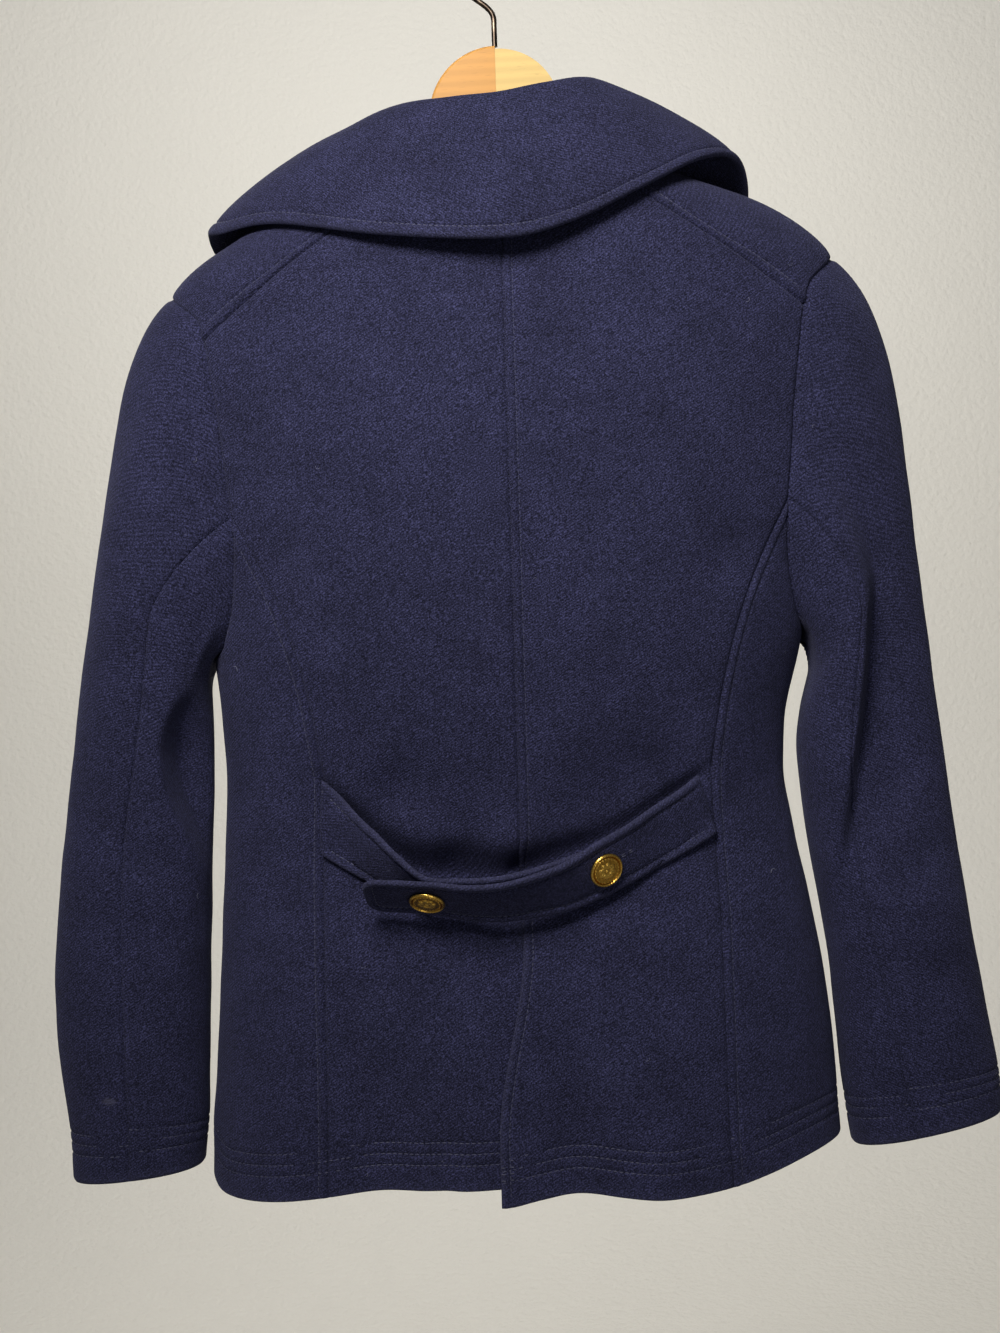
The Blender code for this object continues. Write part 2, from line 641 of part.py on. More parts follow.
def collar(angle, rise):
    """Middle of the collar's cloth: rise 0 is the neck seam, 40 the top of the fold, 140 the edge."""
    angle, rise = np.broadcast_arrays(np.asarray(angle, float), np.asarray(rise, float))
    at = {name: smooth(angle, COLLAR["angle"], COLLAR[name]) for name in COLLAR if name != "angle"}
    seam = body(at["seam"], neckline_z(at["seam"]))
    seam[..., 2] += 1.6 - LEAN * seam[..., 0]
    fold = np.stack([at["fx"], at["fy"], at["fz"]], -1)
    edge = np.stack([at["ex"], at["ey"], at["ez"]], -1)
    away = (edge - seam) * np.array([1, 1, 0])
    away = unit(away)
    up = np.array([0, 0, 1.0])
    height = (fold - seam)[..., 2:]
    drop = np.linalg.norm(edge - fold, axis=-1, keepdims=True)
    s = np.clip(rise / 40, 0, 1)[..., None]
    stand = bezier(seam, seam + up * height * 0.55, fold - away * 7 - up * 1.0, fold, s)
    f = np.clip((rise - 40) / 100, 0, 1)[..., None]
    hang = unit(edge - fold)
    puff = at["puff"][..., None]
    fall = bezier(fold, fold + away * 9 + up * 1.0, edge - hang * drop * 0.42 + away * (4 + puff) + up * puff, edge, f)
    return lean(np.where(rise[..., None] < 40, stand, fall))


def bezier(p, q, r, s, t):
    return p * (1 - t) ** 3 + 3 * q * t * (1 - t) ** 2 + 3 * r * t * t * (1 - t) + s * t**3


def collar_panel(name, material, collection):
    around = stations(-180, 180, 12.0)
    up = np.array([0, 20, 33, 40, 48, 66, 90, 115, 140], float)
    outline = outline_of(
        [(a, 0.0) for a in around],
        [(180.0, r) for r in up],
        [(a, 140.0) for a in around[::-1]],
        [(-180.0, r) for r in up[::-1]],
    )
    return grid_panel(name, collar, around, up, COLLAR_CLOTH, material, collection)


def grid_panel(name, surface, first, second, thick, material, collection):
    """A wall over a whole rectangle of a surface, as rows and columns, centred on the surface."""
    a, b = np.meshgrid(first, second, indexing="ij")
    place = surface(a, b)
    normal = normals(surface, np.clip(a, first[0] + 0.1, first[-1] - 0.1),
                     np.clip(b, second[0] + 0.1, second[-1] - 0.1))
    rows, count = a.shape
    near, far = (place + normal * thick / 2).reshape(-1, 3), (place - normal * thick / 2).reshape(-1, 3)
    total = rows * count
    index = np.arange(total).reshape(rows, count)
    quads = [(index[i, j], index[i + 1, j], index[i + 1, j + 1], index[i, j + 1])
             for i in range(rows - 1) for j in range(count - 1)]
    ring = (list(index[:, 0]) + list(index[-1, 1:]) + list(index[-2::-1, -1]) + list(index[0, -2:0:-1]))
    walls = [(ring[k], ring[(k + 1) % len(ring)]) for k in range(len(ring))]
    mesh = bpy.data.meshes.new(name)
    mesh.from_pydata(
        [tuple(p * MM) for p in np.concatenate([near, far])],
        [],
        [tuple(int(v) for v in f) for f in quads]
        + [tuple(int(v) + total for v in reversed(f)) for f in quads]
        + [(int(p), int(p) + total, int(q) + total, int(q)) for p, q in walls],
    )
    close_out(mesh)
    return new_object(name, mesh, material, collection)


def belt(rows):
    """Surface of one half-belt: reach runs along it, up across it."""
    order = np.argsort(rows["x"])
    x, z, lift, tilt = (rows[name][order] for name in ("x", "z", "lift", "tilt"))
    y = body(turn_at(x, z, -1), z)[:, 1] - lift
    middle = np.stack([x, y, z], -1)
    reach = np.concatenate([[0], np.cumsum(np.linalg.norm(np.diff(middle, axis=0), axis=1))])

    def surface(along, up):
        along, up = np.broadcast_arrays(np.asarray(along, float), np.asarray(up, float))
        here = np.stack([smooth(along, reach, middle[:, k]) for k in range(3)], -1)
        ahead = np.stack([smooth(along + 1, reach, middle[:, k]) for k in range(3)], -1)
        behind = np.stack([smooth(along - 1, reach, middle[:, k]) for k in range(3)], -1)
        run = unit(ahead - behind)
        angle = np.radians(smooth(along, reach, tilt))
        rise = np.stack([0 * angle, -np.sin(angle), np.cos(angle)], -1)
        rise = unit(rise - run * np.sum(rise * run, -1, keepdims=True))
        place = here + rise * up[..., None]
        cloth = body(turn_at(place[..., 0], place[..., 2], -1), place[..., 2])[..., 1]
        place[..., 1] = np.minimum(place[..., 1], cloth - BELT_CLEAR)
        return place

    return surface, reach[-1]


def belt_panel(rows, name, material, collection, round_start):
    """A half-belt with one end in its seam and a rounded free end."""
    surface, length = belt(rows)
    half, corner = BELT_WIDTH / 2, 12.0
    arc = np.radians(stations(0, 90, 22.5))
    free = ([(corner - corner * math.sin(t), half - corner + corner * math.cos(t)) for t in arc]
            + [(corner - corner * math.cos(t), -half + corner - corner * math.sin(t)) for t in arc])
    if not round_start:
        free = [(length - a, b) for a, b in free][::-1]
        run = [(a, half) for a in stations(0, length - corner, 14.0)]
        back = [(a, -half) for a in stations(length - corner, 0, 14.0)]
        outline = outline_of(run, free[::-1], back, [(0, b) for b in stations(-half, half, 14.0)])
    else:
        run = [(a, -half) for a in stations(corner, length, 14.0)]
        back = [(a, half) for a in stations(length, corner, 14.0)]
        outline = outline_of(free, run, [(length, b) for b in stations(-half, half, 14.0)], back)
    return panel(name, surface, outline, np.array([1.0, 1.0]), np.array([13.0, 13.0]), BELT_CLOTH, material,
                 collection, gap=0.0, centred=True)


def seat(place, face):
    """Matrix that puts a turned piece's base at place, with its axis along face."""
    from mathutils import Vector
    turn = Vector(face).to_track_quat("Z", "Y").to_matrix().to_4x4()
    turn.translation = Vector(place) * MM
    return turn


def button(name, place, face, material, collection):
    """A domed metal button with a raised rim, turned about its axis, and its shank."""
    radius = BUTTON_RADIUS
    profile = [
        (radius - 1.6, 0.6), (radius, 1.2), (radius, 2.6), (radius - 0.6, 3.0), (radius - 1.7, 2.7),
        (radius * 0.5, 3.6), (0, 3.9), (0, 0.0), (2.2, 0.0), (2.2, 0.6),
    ]
    mesh = bpy.data.meshes.new(name)
    top = profile[6:7] + profile[5::-1] + profile[9:6:-1]
    mesh.from_pydata([(r * MM, 0, z * MM) for r, z in top], [(k, k + 1) for k in range(len(top) - 1)], [])
    made = new_object(name, mesh, material, collection)
    screw = made.modifiers.new("turn", "SCREW")
    screw.steps = screw.render_steps = 20
    screw.use_merge_vertices = True
    screw.merge_threshold = 0.00005
    screw.use_normal_calculate = True
    made.matrix_world = seat(place, face)
    return made


def hanger_outline():
    """Half of the hanger's wood, seen from the back: the round top, the arm and the tip."""
    dome, foot = 45.0, 40.0
    arc = np.radians(stations(0, 74, 8.0))
    top = [(dome * math.sin(t), HANGER_TOP - dome + dome * math.cos(t)) for t in arc]
    arm = [(51.0, -120.0), (57.0, -138.0), (67.0, -154.0), (80.0, -162.5), (104.0, -171.5), (136.0, -184.0),
           (166.0, -197.0), (186.0, -209.0), (195.0, -219.0)]
    tip = [(196.0, -227.0), (190.0, -231.5), (181.0, -229.0)]
    under = [(160.0, -217.0), (128.0, -203.0), (92.0, -189.0), (foot, -174.0), (18.0, -169.0), (0.0, -168.0)]
    return top + arm + tip + under


def hanger_wood(name, side, material, collection):
    """One of the two glued halves of the wooden hanger."""
    curve = bpy.data.curves.new(name, "CURVE")
    curve.dimensions = "2D"
    curve.fill_mode = "BOTH"
    curve.extrude = HANGER_THICK / 2 * MM - 0.0012
    curve.bevel_depth = 0.0012
    curve.bevel_resolution = 1
    points = hanger_outline()
    inset_x = 0.15 + 1.2
    points = [(max(x, inset_x), z + (1.2 if k > len(points) - 7 else -1.2)) for k, (x, z) in enumerate(points)]
    spline = curve.splines.new("POLY")
    spline.points.add(len(points) - 1)
    for point, (x, z) in zip(spline.points, points):
        point.co = (side * x * MM, (z + LEAN * side * x) * MM, 0, 1)
    spline.use_cyclic_u = True
    made = new_object(name, curve, material, collection)
    made.rotation_euler = (math.radians(90), 0, 0)
    return made


def hook_path():
    """The wire, from inside the wood up the shank, out to the left and over the loop."""
    centre = WIRE_RADIUS - HOOK_LOOP_RADIUS + 0.0
    shank = [(0.0, z) for z in stations(HANGER_TOP - 22, HOOK_SHANK_TOP - 4, 8.0)]
    start = math.radians(222)
    loop_start = (HOOK_LOOP_RADIUS * math.cos(start), centre + HOOK_LOOP_RADIUS * math.sin(start))
    bend = []
    for t in stations(0, 1, 0.2)[1:-1]:
        a, b = shank[-1], loop_start
        out, back = (0.0, a[1] + 9), (b[0] + 6.0, b[1] - 7.0)
        bend.append(tuple(a[k] * (1 - t) ** 3 + 3 * out[k] * t * (1 - t) ** 2 + 3 * back[k] * t * t * (1 - t)
                          + b[k] * t**3 for k in (0, 1)))
    loop = [(HOOK_LOOP_RADIUS * math.cos(t), centre + HOOK_LOOP_RADIUS * math.sin(t))
            for t in np.radians(stations(222, -25, 15.0))]
    return shank + bend + loop


def hanger_hook(name, material, collection):
    curve = bpy.data.curves.new(name, "CURVE")
    curve.dimensions = "3D"
    curve.bevel_depth = WIRE_RADIUS * MM
    curve.bevel_resolution = 2
    curve.use_fill_caps = True
    points = [p for p in hook_path() if p[1] > HANGER_TOP + 0.4]
    points.insert(0, (0.0, HANGER_TOP + 0.35))
    spline = curve.splines.new("POLY")
    spline.points.add(len(points) - 1)
    for point, (x, z) in zip(spline.points, points):
        point.co = (x * MM, 0, z * MM, 1)
    return new_object(name, curve, material, collection)


def finish_of(name, colour, roughness, metallic):
    material = bpy.data.materials.new(name)
    material.use_nodes = True
    shader = material.node_tree.nodes["Principled BSDF"]
    shader.inputs["Base Color"].default_value = (*colour, 1)
    shader.inputs["Roughness"].default_value = roughness
    shader.inputs["Metallic"].default_value = metallic
    return material


def belt_button(x, name, material, collection):
    surface, length = belt(BELT_RIGHT)
    order = np.argsort(BELT_RIGHT["x"])
    samples = np.linspace(0, length, 400)
    along = samples[np.argmin(np.abs(surface(samples, 0)[:, 0] - x))]
    place = surface(along, 0.0)
    face = normals(surface, np.array([along]), np.array([0.0]))[0]
    if face[1] > 0:
        face = -face
    return button(name, place + face * (BELT_CLOTH / 2 + 0.4), face, material, collection)


def front_button(x, z, name, material, collection):
    turn = front_line([(x, z), (x, z + 1)], 1)[0][0]
    face = normals(body, np.array([turn]), np.array([z]))[0]
    if face[1] < 0:
        face = -face
    raised = over_out(np.array([turn]), np.array([z]))[0]
    return button(name, body(turn, z) + face * (raised + 0.4), face, material, collection)


def build():
    for old in list(bpy.data.objects):
        bpy.data.objects.remove(old)
    collection = bpy.data.collections.new("pea_coat")
    bpy.context.scene.collection.children.link(collection)
    wool = finish_of("navy_melton", (0.016, 0.018, 0.042), 0.95, 0.0)
    brass = finish_of("gilt_brass", (0.86, 0.60, 0.16), 0.25, 1.0)
    wood = finish_of("lotus_wood", (0.80, 0.50, 0.24), 0.5, 0.0)
    steel = finish_of("hook_steel", (0.20, 0.17, 0.14), 0.35, 1.0)
    for side, word in ((-1, "left"), (1, "right")):
        back_panel(side, f"back_{word}", wool, collection)
        side_panel(side, f"side_{word}", wool, collection)
        front_panel(side, f"front_{word}", wool, collection)
        lapel(side, f"lapel_{word}", wool, collection)
        sleeve_panel(side, 0, 195, f"top_sleeve_{word}", wool, collection)
        sleeve_panel(side, 195, 360, f"under_sleeve_{word}", wool, collection)
        hanger_wood(f"hanger_{word}", side, wood, collection)
    collar_panel("collar", wool, collection)
    belt_panel(BELT_RIGHT, "belt_right", wool, collection, round_start=True)
    belt_panel(BELT_LEFT, "belt_left", wool, collection, round_start=False)
    hanger_hook("hanger_hook", steel, collection)
    for x, word in zip(BELT_BUTTONS, ("right", "left")):
        belt_button(x, f"belt_button_{word}", brass, collection)
    for row, z in enumerate(FRONT_BUTTON_ROWS, 1):
        for x, word in ((-FRONT_BUTTON_X, "left"), (FRONT_BUTTON_X, "right")):
            front_button(x, z, f"front_button_{word}_{row}", brass, collection)


build()
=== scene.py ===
"""Looks of a women's pea coat on a wooden hanger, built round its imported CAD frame.

The coat's back faces -Y, its front +Y, and the wearer's right side is at +X. The cloth pieces are cut
from the same smooth surfaces as the CAD panels, then given their seams, edges, rows of stitching and
creases. Tables and sizes are in millimetres and degrees; MM turns them to metres at the end.
"""
import math
from collections import namedtuple

import bmesh
import bpy
import numpy as np
from mathutils import Matrix, Vector
from mathutils.geometry import delaunay_2d_cdt
from mathutils.kdtree import KDTree


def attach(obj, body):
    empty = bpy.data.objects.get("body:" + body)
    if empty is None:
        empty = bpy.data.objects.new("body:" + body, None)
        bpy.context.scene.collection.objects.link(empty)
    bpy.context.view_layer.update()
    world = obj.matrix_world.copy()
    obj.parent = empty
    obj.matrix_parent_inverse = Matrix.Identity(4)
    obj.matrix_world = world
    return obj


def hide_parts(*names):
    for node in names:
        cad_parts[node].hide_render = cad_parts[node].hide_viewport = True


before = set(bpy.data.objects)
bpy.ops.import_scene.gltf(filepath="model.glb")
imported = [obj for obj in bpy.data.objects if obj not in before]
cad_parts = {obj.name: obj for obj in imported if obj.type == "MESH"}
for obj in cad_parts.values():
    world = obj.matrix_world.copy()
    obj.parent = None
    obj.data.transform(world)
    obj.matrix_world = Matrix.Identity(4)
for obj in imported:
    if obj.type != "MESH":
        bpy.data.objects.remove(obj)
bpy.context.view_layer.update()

bl_info = {
    "name": "Pea Coat on a Hanger",
    "version": (1, 0, 0),
    "blender": (4, 5, 0),
    "location": "3D View > Sidebar > Coat",
    "description": "Builds a wool pea coat that hangs on a wooden hanger, from its sizes and colours",
    "category": "Object",
}

MM = 0.001
CLOTH = 2.4
COLLAR_CLOTH = 4.0
BELT_CLOTH = 3.6
HEM_Z = -826.0
VENT_TOP_Z = -652.0
LEAN = 0.03                       # rise of the shoulder line per mm to the right
LEAN_FROM, LEAN_OVER = -430.0, 180.0
OVERLAP = 76.0
BREAK_Z = -343.0
BUTTON_RADIUS = 11.4
BELT_WIDTH = 40.0
BELT_CLEAR = 3.0
WIRE_RADIUS = 1.9
HANGER_THICK = 12.0
SEAM_ROW = 6.0                    # a topstitched row's distance from its seam or edge
SHOULDER_ROW = 8.0
COLLAR_ROW = 7.5
HEM_ROWS = (16.0, 23.0, 30.0)
CUFF_ROWS = (16.5, 23.5, 30.0)
SEAM_DEPTH = 1.3                  # how deep the cloth rolls into a seam
SEAM_ROLL = 1.15                  # how near the seam that roll starts
SEAM_DIP, SEAM_DIP_WIDTH = 0.35, 3.4
ROW_DEPTH = 0.85                  # how deep a topstitched row pulls the cloth in
ROW_PLUMP = 0.85                  # how far the allowance swells between a seam and its row
NARROW_ROW = 10.0                 # rows nearer than this hold such an allowance


def columns(names, *rows):
    """A table as {name: array}, one array for each named column."""
    return {name: np.array(column, float) for name, column in zip(names.split(), zip(*rows))}


# Body sections. left and right are half widths; back, front and side are depths (y) at the centre
# back, the centre front and the two side folds. square is the exponent of the rounded section.
BODY = columns(
    "z      left right back  front side square",
    (-850, 212, 210, -86, 78, 6, 2.5),
    (-793, 210, 208, -84, 77, 6, 2.5),
    (-740, 206, 205, -80, 76, 5, 2.5),
    (-685, 202, 199, -74, 75, 4, 2.5),
    (-640, 199, 191, -67, 73, 3, 2.5),
    (-605, 197, 184, -62, 71, 2, 2.5),
    (-565, 194, 178, -62, 70, 1, 2.5),
    (-530, 195, 179, -68, 71, 0, 2.5),
    (-478, 199, 191, -77, 74, 0, 2.5),
    (-420, 205, 200, -81, 76, 0, 2.5),
    (-360, 211, 209, -82, 75, 0, 2.5),
    (-300, 219, 218, -79, 70, 0, 2.45),
    (-262, 224, 223, -74, 65, 0, 2.4),
    (-240, 224, 223, -71, 62, 0, 2.3),
    (-228, 220, 220, -69, 61, 0, 2.25),
    (-212, 204, 206, -66, 59, 0, 2.2),
    (-200, 186, 190, -63, 57, 0, 2.2),
    (-187, 162, 166, -60, 55, 0, 2.2),
    (-175, 134, 136, -56, 52, 0, 2.2),
    (-163, 102, 102, -52, 49, 0, 2.2),
    (-152, 76, 76, -47, 46, 0, 2.2),
    (-146, 70, 70, -44, 44, 0, 2.2),
)
# Largest folds of the back, each a soft trough or ridge between two points. depth is toward the
# front of the coat, so a negative one is a ridge.
BACK_FOLDS = columns(
    "x0   z0    x1   z1    width depth",
    (-92, -700, -92, -850, 34, 7),
    (-47, -700, -47, -850, 22, -3),
    (-165, -700, -163, -850, 30, -5),
    (30, -690, 28, -850, 26, 5),
    (82, -700, 84, -850, 30, -5),
    (-95, -560, -30, -612, 30, 9),
    (100, -548, 25, -610, 30, 8),
    (-172, -300, -150, -430, 26, 5),
    (168, -300, 150, -430, 24, 4),
)
# Seams of the back, as half widths (x) at each height; both sides are cut alike.
PRINCESS = columns(
    "z     x",
    (-850, 130), (-790, 128), (-700, 128), (-640, 128), (-600, 127), (-560, 126), (-527, 130),
    (-500, 135), (-470, 143), (-444, 152), (-420, 163), (-404, 171), (-386, 181),
)
SHOULDER = columns(
    "z     x",
    (-266, 196), (-250, 175), (-232, 152), (-215, 129), (-197, 104), (-180, 82), (-165, 67), (-153, 58),
)
FRONT_SIDE = columns(
    "z     x",
    (-850, 146), (-700, 142), (-600, 140), (-540, 143), (-500, 150), (-470, 163), (-446, 181),
)
# The armhole, round from the underarm (-90) by the back (0) over the shoulder tip (90) to the
# front (180) and back to the underarm (270). face is -1 on the back and 1 on the front.
ARMHOLE = columns(
    "angle x   z     face",
    (-90, 199, -479, 0),
    (-75, 194, -474, -1),
    (-60, 189, -464, -1),
    (-45, 184, -448, -1),
    (-30, 181, -428, -1),
    (-15, 180, -406, -1),
    (0, 181, -386, -1),
    (15, 184, -356, -1),
    (30, 187, -326, -1),
    (45, 191, -296, -1),
    (60, 196, -266, -1),
    (75, 207, -244, -1),
    (90, 221, -229, 0),
    (105, 205, -243, 1),
    (120, 193, -264, 1),
    (135, 187, -290, 1),
    (150, 182, -318, 1),
    (165, 178, -347, 1),
    (180, 176, -376, 1),
    (195, 176, -403, 1),
    (210, 179, -427, 1),
    (225, 183, -447, 1),
    (240, 188, -463, 1),
    (255, 194, -474, 1),
    (270, 199, -479, 0),
)
SHOULDER_AT, PRINCESS_AT, FRONT_SIDE_AT = 60, 0, 225
# The left back panel's hem runs on level past the first of these turns, the right one's before the second.
VENT_TURNS = (-12, -5)
# Height of the hem round the body, at the turns of body(). It dips most at the vent's upper corner.
HEM = columns(
    "turn  z",
    (-260, -822), (-180, -822), (-120, -818), (-90, -817), (-78, -820), (-66, -826), (-54, -827),
    (-44, -825), (-35, -822), (-25, -818), (-19, -818), (VENT_TURNS[0], -817.5), (VENT_TURNS[1], -828),
    (1, -825), (8, -822), (16, -825), (22, -827), (29, -826), (36, -823), (44, -817), (52, -811), (60, -807),
    (75, -804), (90, -804), (120, -808), (150, -816), (180, -821), (260, -822),
)
# Sleeve sections below the sleeve head. mid is the distance of the centre from the coat's middle,
# rise how much higher the outer edge is than the centre, turn the place of the back seam.
SLEEVE_LEFT = columns(
    "z     mid  y    wide deep turn rise",
    (-816, 260, -4, 43.5, 36, 2, -4),
    (-780, 259, -5, 46, 36, 2, 0),
    (-745, 260, -7, 49, 37, 1, 0),
    (-700, 260, -8, 51, 38, 1, 0),
    (-650, 257, -10, 50.5, 39, 3, 0),
    (-600, 253, -11, 49, 40, 4, 0),
    (-550, 248, -12, 46.5, 42, 0, 2),
    (-505, 243, -12, 42, 45, -3, 20),
    (-452, 237, -10, 35, 47, -4, 50),
)
SLEEVE_RIGHT = columns(
    "z     mid  y    wide deep turn rise",
    (-803, 266, -2, 50, 35, -13, 10),
    (-775, 263, -3, 51.5, 36, -17, 7),
    (-745, 259, -4, 50.5, 37, -20, 4),
    (-700, 254, -5, 49, 38, -25, 0),
    (-650, 247, -6, 48.5, 39, -28, 0),
    (-600, 240, -7, 49, 40, -24, 0),
    (-550, 235, -8, 48, 42, -22, 2),
    (-505, 233, -8, 43.5, 45, -18, 20),
    (-452, 232, -8, 36, 47, -12, 50),
)
# Where each sleeve's back face is tucked in: edge is the fold's distance from the coat's middle,
# share how much of the depth is lost beyond it. The left tuck faces the body, the right one faces out.
TUCK_LEFT = columns(
    "z     edge share",
    (-630, 196, 0), (-609, 206, 0.3), (-585, 216, 0.62), (-560, 224, 0.7), (-533, 226, 0.62),
    (-512, 220, 0.36), (-494, 208, 0.1), (-478, 196, 0),
)
TUCK_RIGHT = columns(
    "z     edge share",
    (-650, 205, 0), (-602, 213, 0.3), (-557, 220, 0.46), (-518, 226, 0.5), (-453, 232, 0.48),
    (-388, 239, 0.4), (-340, 246, 0.2), (-310, 252, 0),
)
TUCK_SOFT = 5.0
# Collar sections round the neck: angle 0 is the centre back, -180 the wearer's left front end.
# seam is the turn on the body's neckline, f* the top of the fold, e* the outer edge, puff how far
# the fall stands out above its edge.
COLLAR = columns(
    "angle seam fx   fy   fz    ex    ey   ez    puff",
    (-180, -134, -56, 44, -154, -142, 74, -240, 5),
    (-140, -114, -68, 25, -137, -186, 50, -208, 9),
    (-105, -92, -73, 0, -123, -197, 15, -188, 15),
    (-75, -72, -69, -20, -119, -184, -16, -191, 15),
    (-50, -50, -55, -37, -119, -146, -44, -193, 10),
    (-25, -25, -30, -50, -121, -74, -74, -211, 5),
    (0, 0, 0, -54, -121, 0, -86, -220, 5),
    (25, 25, 30, -50, -116, 44, -79, -211, 5),
    (50, 50, 55, -37, -110, 92, -63, -188, 6),
    (75, 72, 69, -20, -110, 131, -38, -167, 8),
    (105, 92, 73, 0, -116, 160, -4, -162, 10),
    (140, 114, 68, 25, -132, 170, 42, -190, 8),
    (180, 134, 56, 44, -152, 140, 74, -236, 5),
)
# Half-belt sections from the seam inwards: lift is the distance off the back, tilt how far the
# top edge leans out.
BELT_RIGHT = columns(
    "x     z     lift tilt",
    (-99, -629, 26, 56), (-78, -630, 27, 56), (-55, -632, 29, 55), (-32, -635, 30, 52),
    (-12, -635, 30, 48), (8, -632, 28, 42), (30, -627, 25.3, 33), (52, -617.5, 21.6, 22),
    (70, -609, 16.9, 20), (90, -598.5, 11, 13), (110, -588, 6.5, 8), (124.5, -579, 3.2, 2),
)
BELT_LEFT = columns(
    "x     z     lift tilt",
    (62, -618, 8.6, 23), (48, -621, 13.8, 27), (30, -625, 20.9, 33), (8, -628.5, 25.8, 42),
    (-15, -631, 29, 49), (-40, -631, 27.6, 53), (-60, -629, 24.8, 53), (-78, -619, 20, 40),
    (-95, -607, 14, 24), (-112, -595, 7, 12), (-125.5, -584, 3.2, 2), (-141, -571, 3.2, 0),
)
BELT_BUTTONS = (52.0, -59.0)
# Right lapel, seen on the front: corners as (x, z). The left one is its mirror image.
LAPEL = {"break": (-70, BREAK_Z), "neck": (60, -176), "notch": (96, -222), "tip": (160, -264)}
FRONT_BUTTON_X = 52.0
FRONT_BUTTON_ROWS = (-365.0, -470.0, -575.0)
HOOK_SHANK_TOP, HOOK_LOOP_RADIUS = -52.0, 23.0
HANGER_TOP = -74.0


def smooth(x, xs, ys):
    """Cubic curve through the points (xs, ys), at x. The ends carry on level."""
    order = np.argsort(xs)
    xs, ys = xs[order], ys[order]
    slopes = np.gradient(ys, xs)
    x = np.clip(x, xs[0], xs[-1])
    i = np.clip(np.searchsorted(xs, x) - 1, 0, len(xs) - 2)
    span = xs[i + 1] - xs[i]
    t = (x - xs[i]) / span
    rise = ys[i] * (1 + 2 * t) * (1 - t) ** 2 + ys[i + 1] * t * t * (3 - 2 * t)
    return rise + span * t * (1 - t) * (slopes[i] * (1 - t) - slopes[i + 1] * t)


def ease(t):
    t = np.clip(t, 0, 1)
    return t * t * (3 - 2 * t)


def bell(away, width):
    return np.exp(-((away / width) ** 2))


def unit(vectors):
    return vectors / np.maximum(np.linalg.norm(vectors, axis=-1, keepdims=True), 1e-9)


def lean(points):
    """The coat hangs a little out of level: the shoulders tilt, the skirt doesn't."""
    points[..., 2] += LEAN * points[..., 0] * ease((points[..., 2] - LEAN_FROM) / LEAN_OVER)
    return points


def fold_depth(x, z, folds):
    """How far the named folds push the cloth in at (x, z)."""
    total = np.zeros_like(x)
    for x0, z0, x1, z1, width, depth in zip(*folds.values()):
        along = np.array([x1 - x0, z1 - z0])
        length = np.hypot(*along)
        t = ((x - x0) * along[0] + (z - z0) * along[1]) / length**2
        away = np.abs((x - x0) * along[1] - (z - z0) * along[0]) / length
        ends = ease((t + 0.15) / 0.4) * ease((1.25 - t) / 0.4) if z1 > -840 else ease(t / 0.7)
        total += depth * ends * bell(away, width)
    return total


def body(turn, z):
    """Outer face of the body cloth. turn is 0 at the centre back, 90 at the right side, 180 at the
    centre front and -90 at the left side."""
    turn, z = np.broadcast_arrays(np.asarray(turn, float), np.asarray(z, float))
    at = {name: smooth(z, BODY["z"], BODY[name]) for name in BODY if name != "z"}
    sine, cosine = np.sin(np.radians(turn)), np.cos(np.radians(turn))
    power = at["square"]
    stretch = (np.abs(sine) ** power + np.abs(cosine) ** power) ** (-1 / power)
    x = np.where(sine < 0, at["left"], at["right"]) * sine * stretch
    deep = np.where(cosine > 0, at["side"] - at["back"], at["front"] - at["side"])
    y = at["side"] - deep * cosine * stretch
    y = y + fold_depth(x, z, BACK_FOLDS) * np.clip(cosine, 0, 1) ** 0.5
    return lean(np.stack([x, y, z], -1))


def turn_at(x, z, face):
    """The turn at which the body, at height z, is x from the middle: on the back for face -1."""
    x, z = np.broadcast_arrays(np.asarray(x, float), np.asarray(z, float))
    half = np.where(x < 0, smooth(z, BODY["z"], BODY["left"]), smooth(z, BODY["z"], BODY["right"]))
    power = smooth(z, BODY["z"], BODY["square"])
    share = np.clip(np.abs(x) / half, 0, 1 - 1e-9) ** power
    turn = np.degrees(np.arctan((share / (1 - share)) ** (1 / power)))
    turn = np.where(np.asarray(face) > 0, 180 - turn, turn)
    return np.where(x < 0, -turn, turn)


def normals(surface, a, b, da=0.05, db=0.05):
    """Unit normals of a surface of two parameters, by differences."""
    along_a = surface(a + da, b) - surface(a - da, b)
    along_b = surface(a, b + db) - surface(a, b - db)
    return unit(np.cross(along_a, along_b))


def armhole(side, angle):
    """(turn, z) of the armhole at an angle round it. side is -1 for the left."""
    face = np.where(ARMHOLE["face"] == 0, 1, ARMHOLE["face"])
    turns = np.abs(turn_at(side * ARMHOLE["x"], ARMHOLE["z"], face))
    turns[ARMHOLE["face"] == 0] = 90
    angle = (np.asarray(angle, float) + 90) % 360 - 90
    return side * smooth(angle, ARMHOLE["angle"], turns), smooth(angle, ARMHOLE["angle"], ARMHOLE["z"])


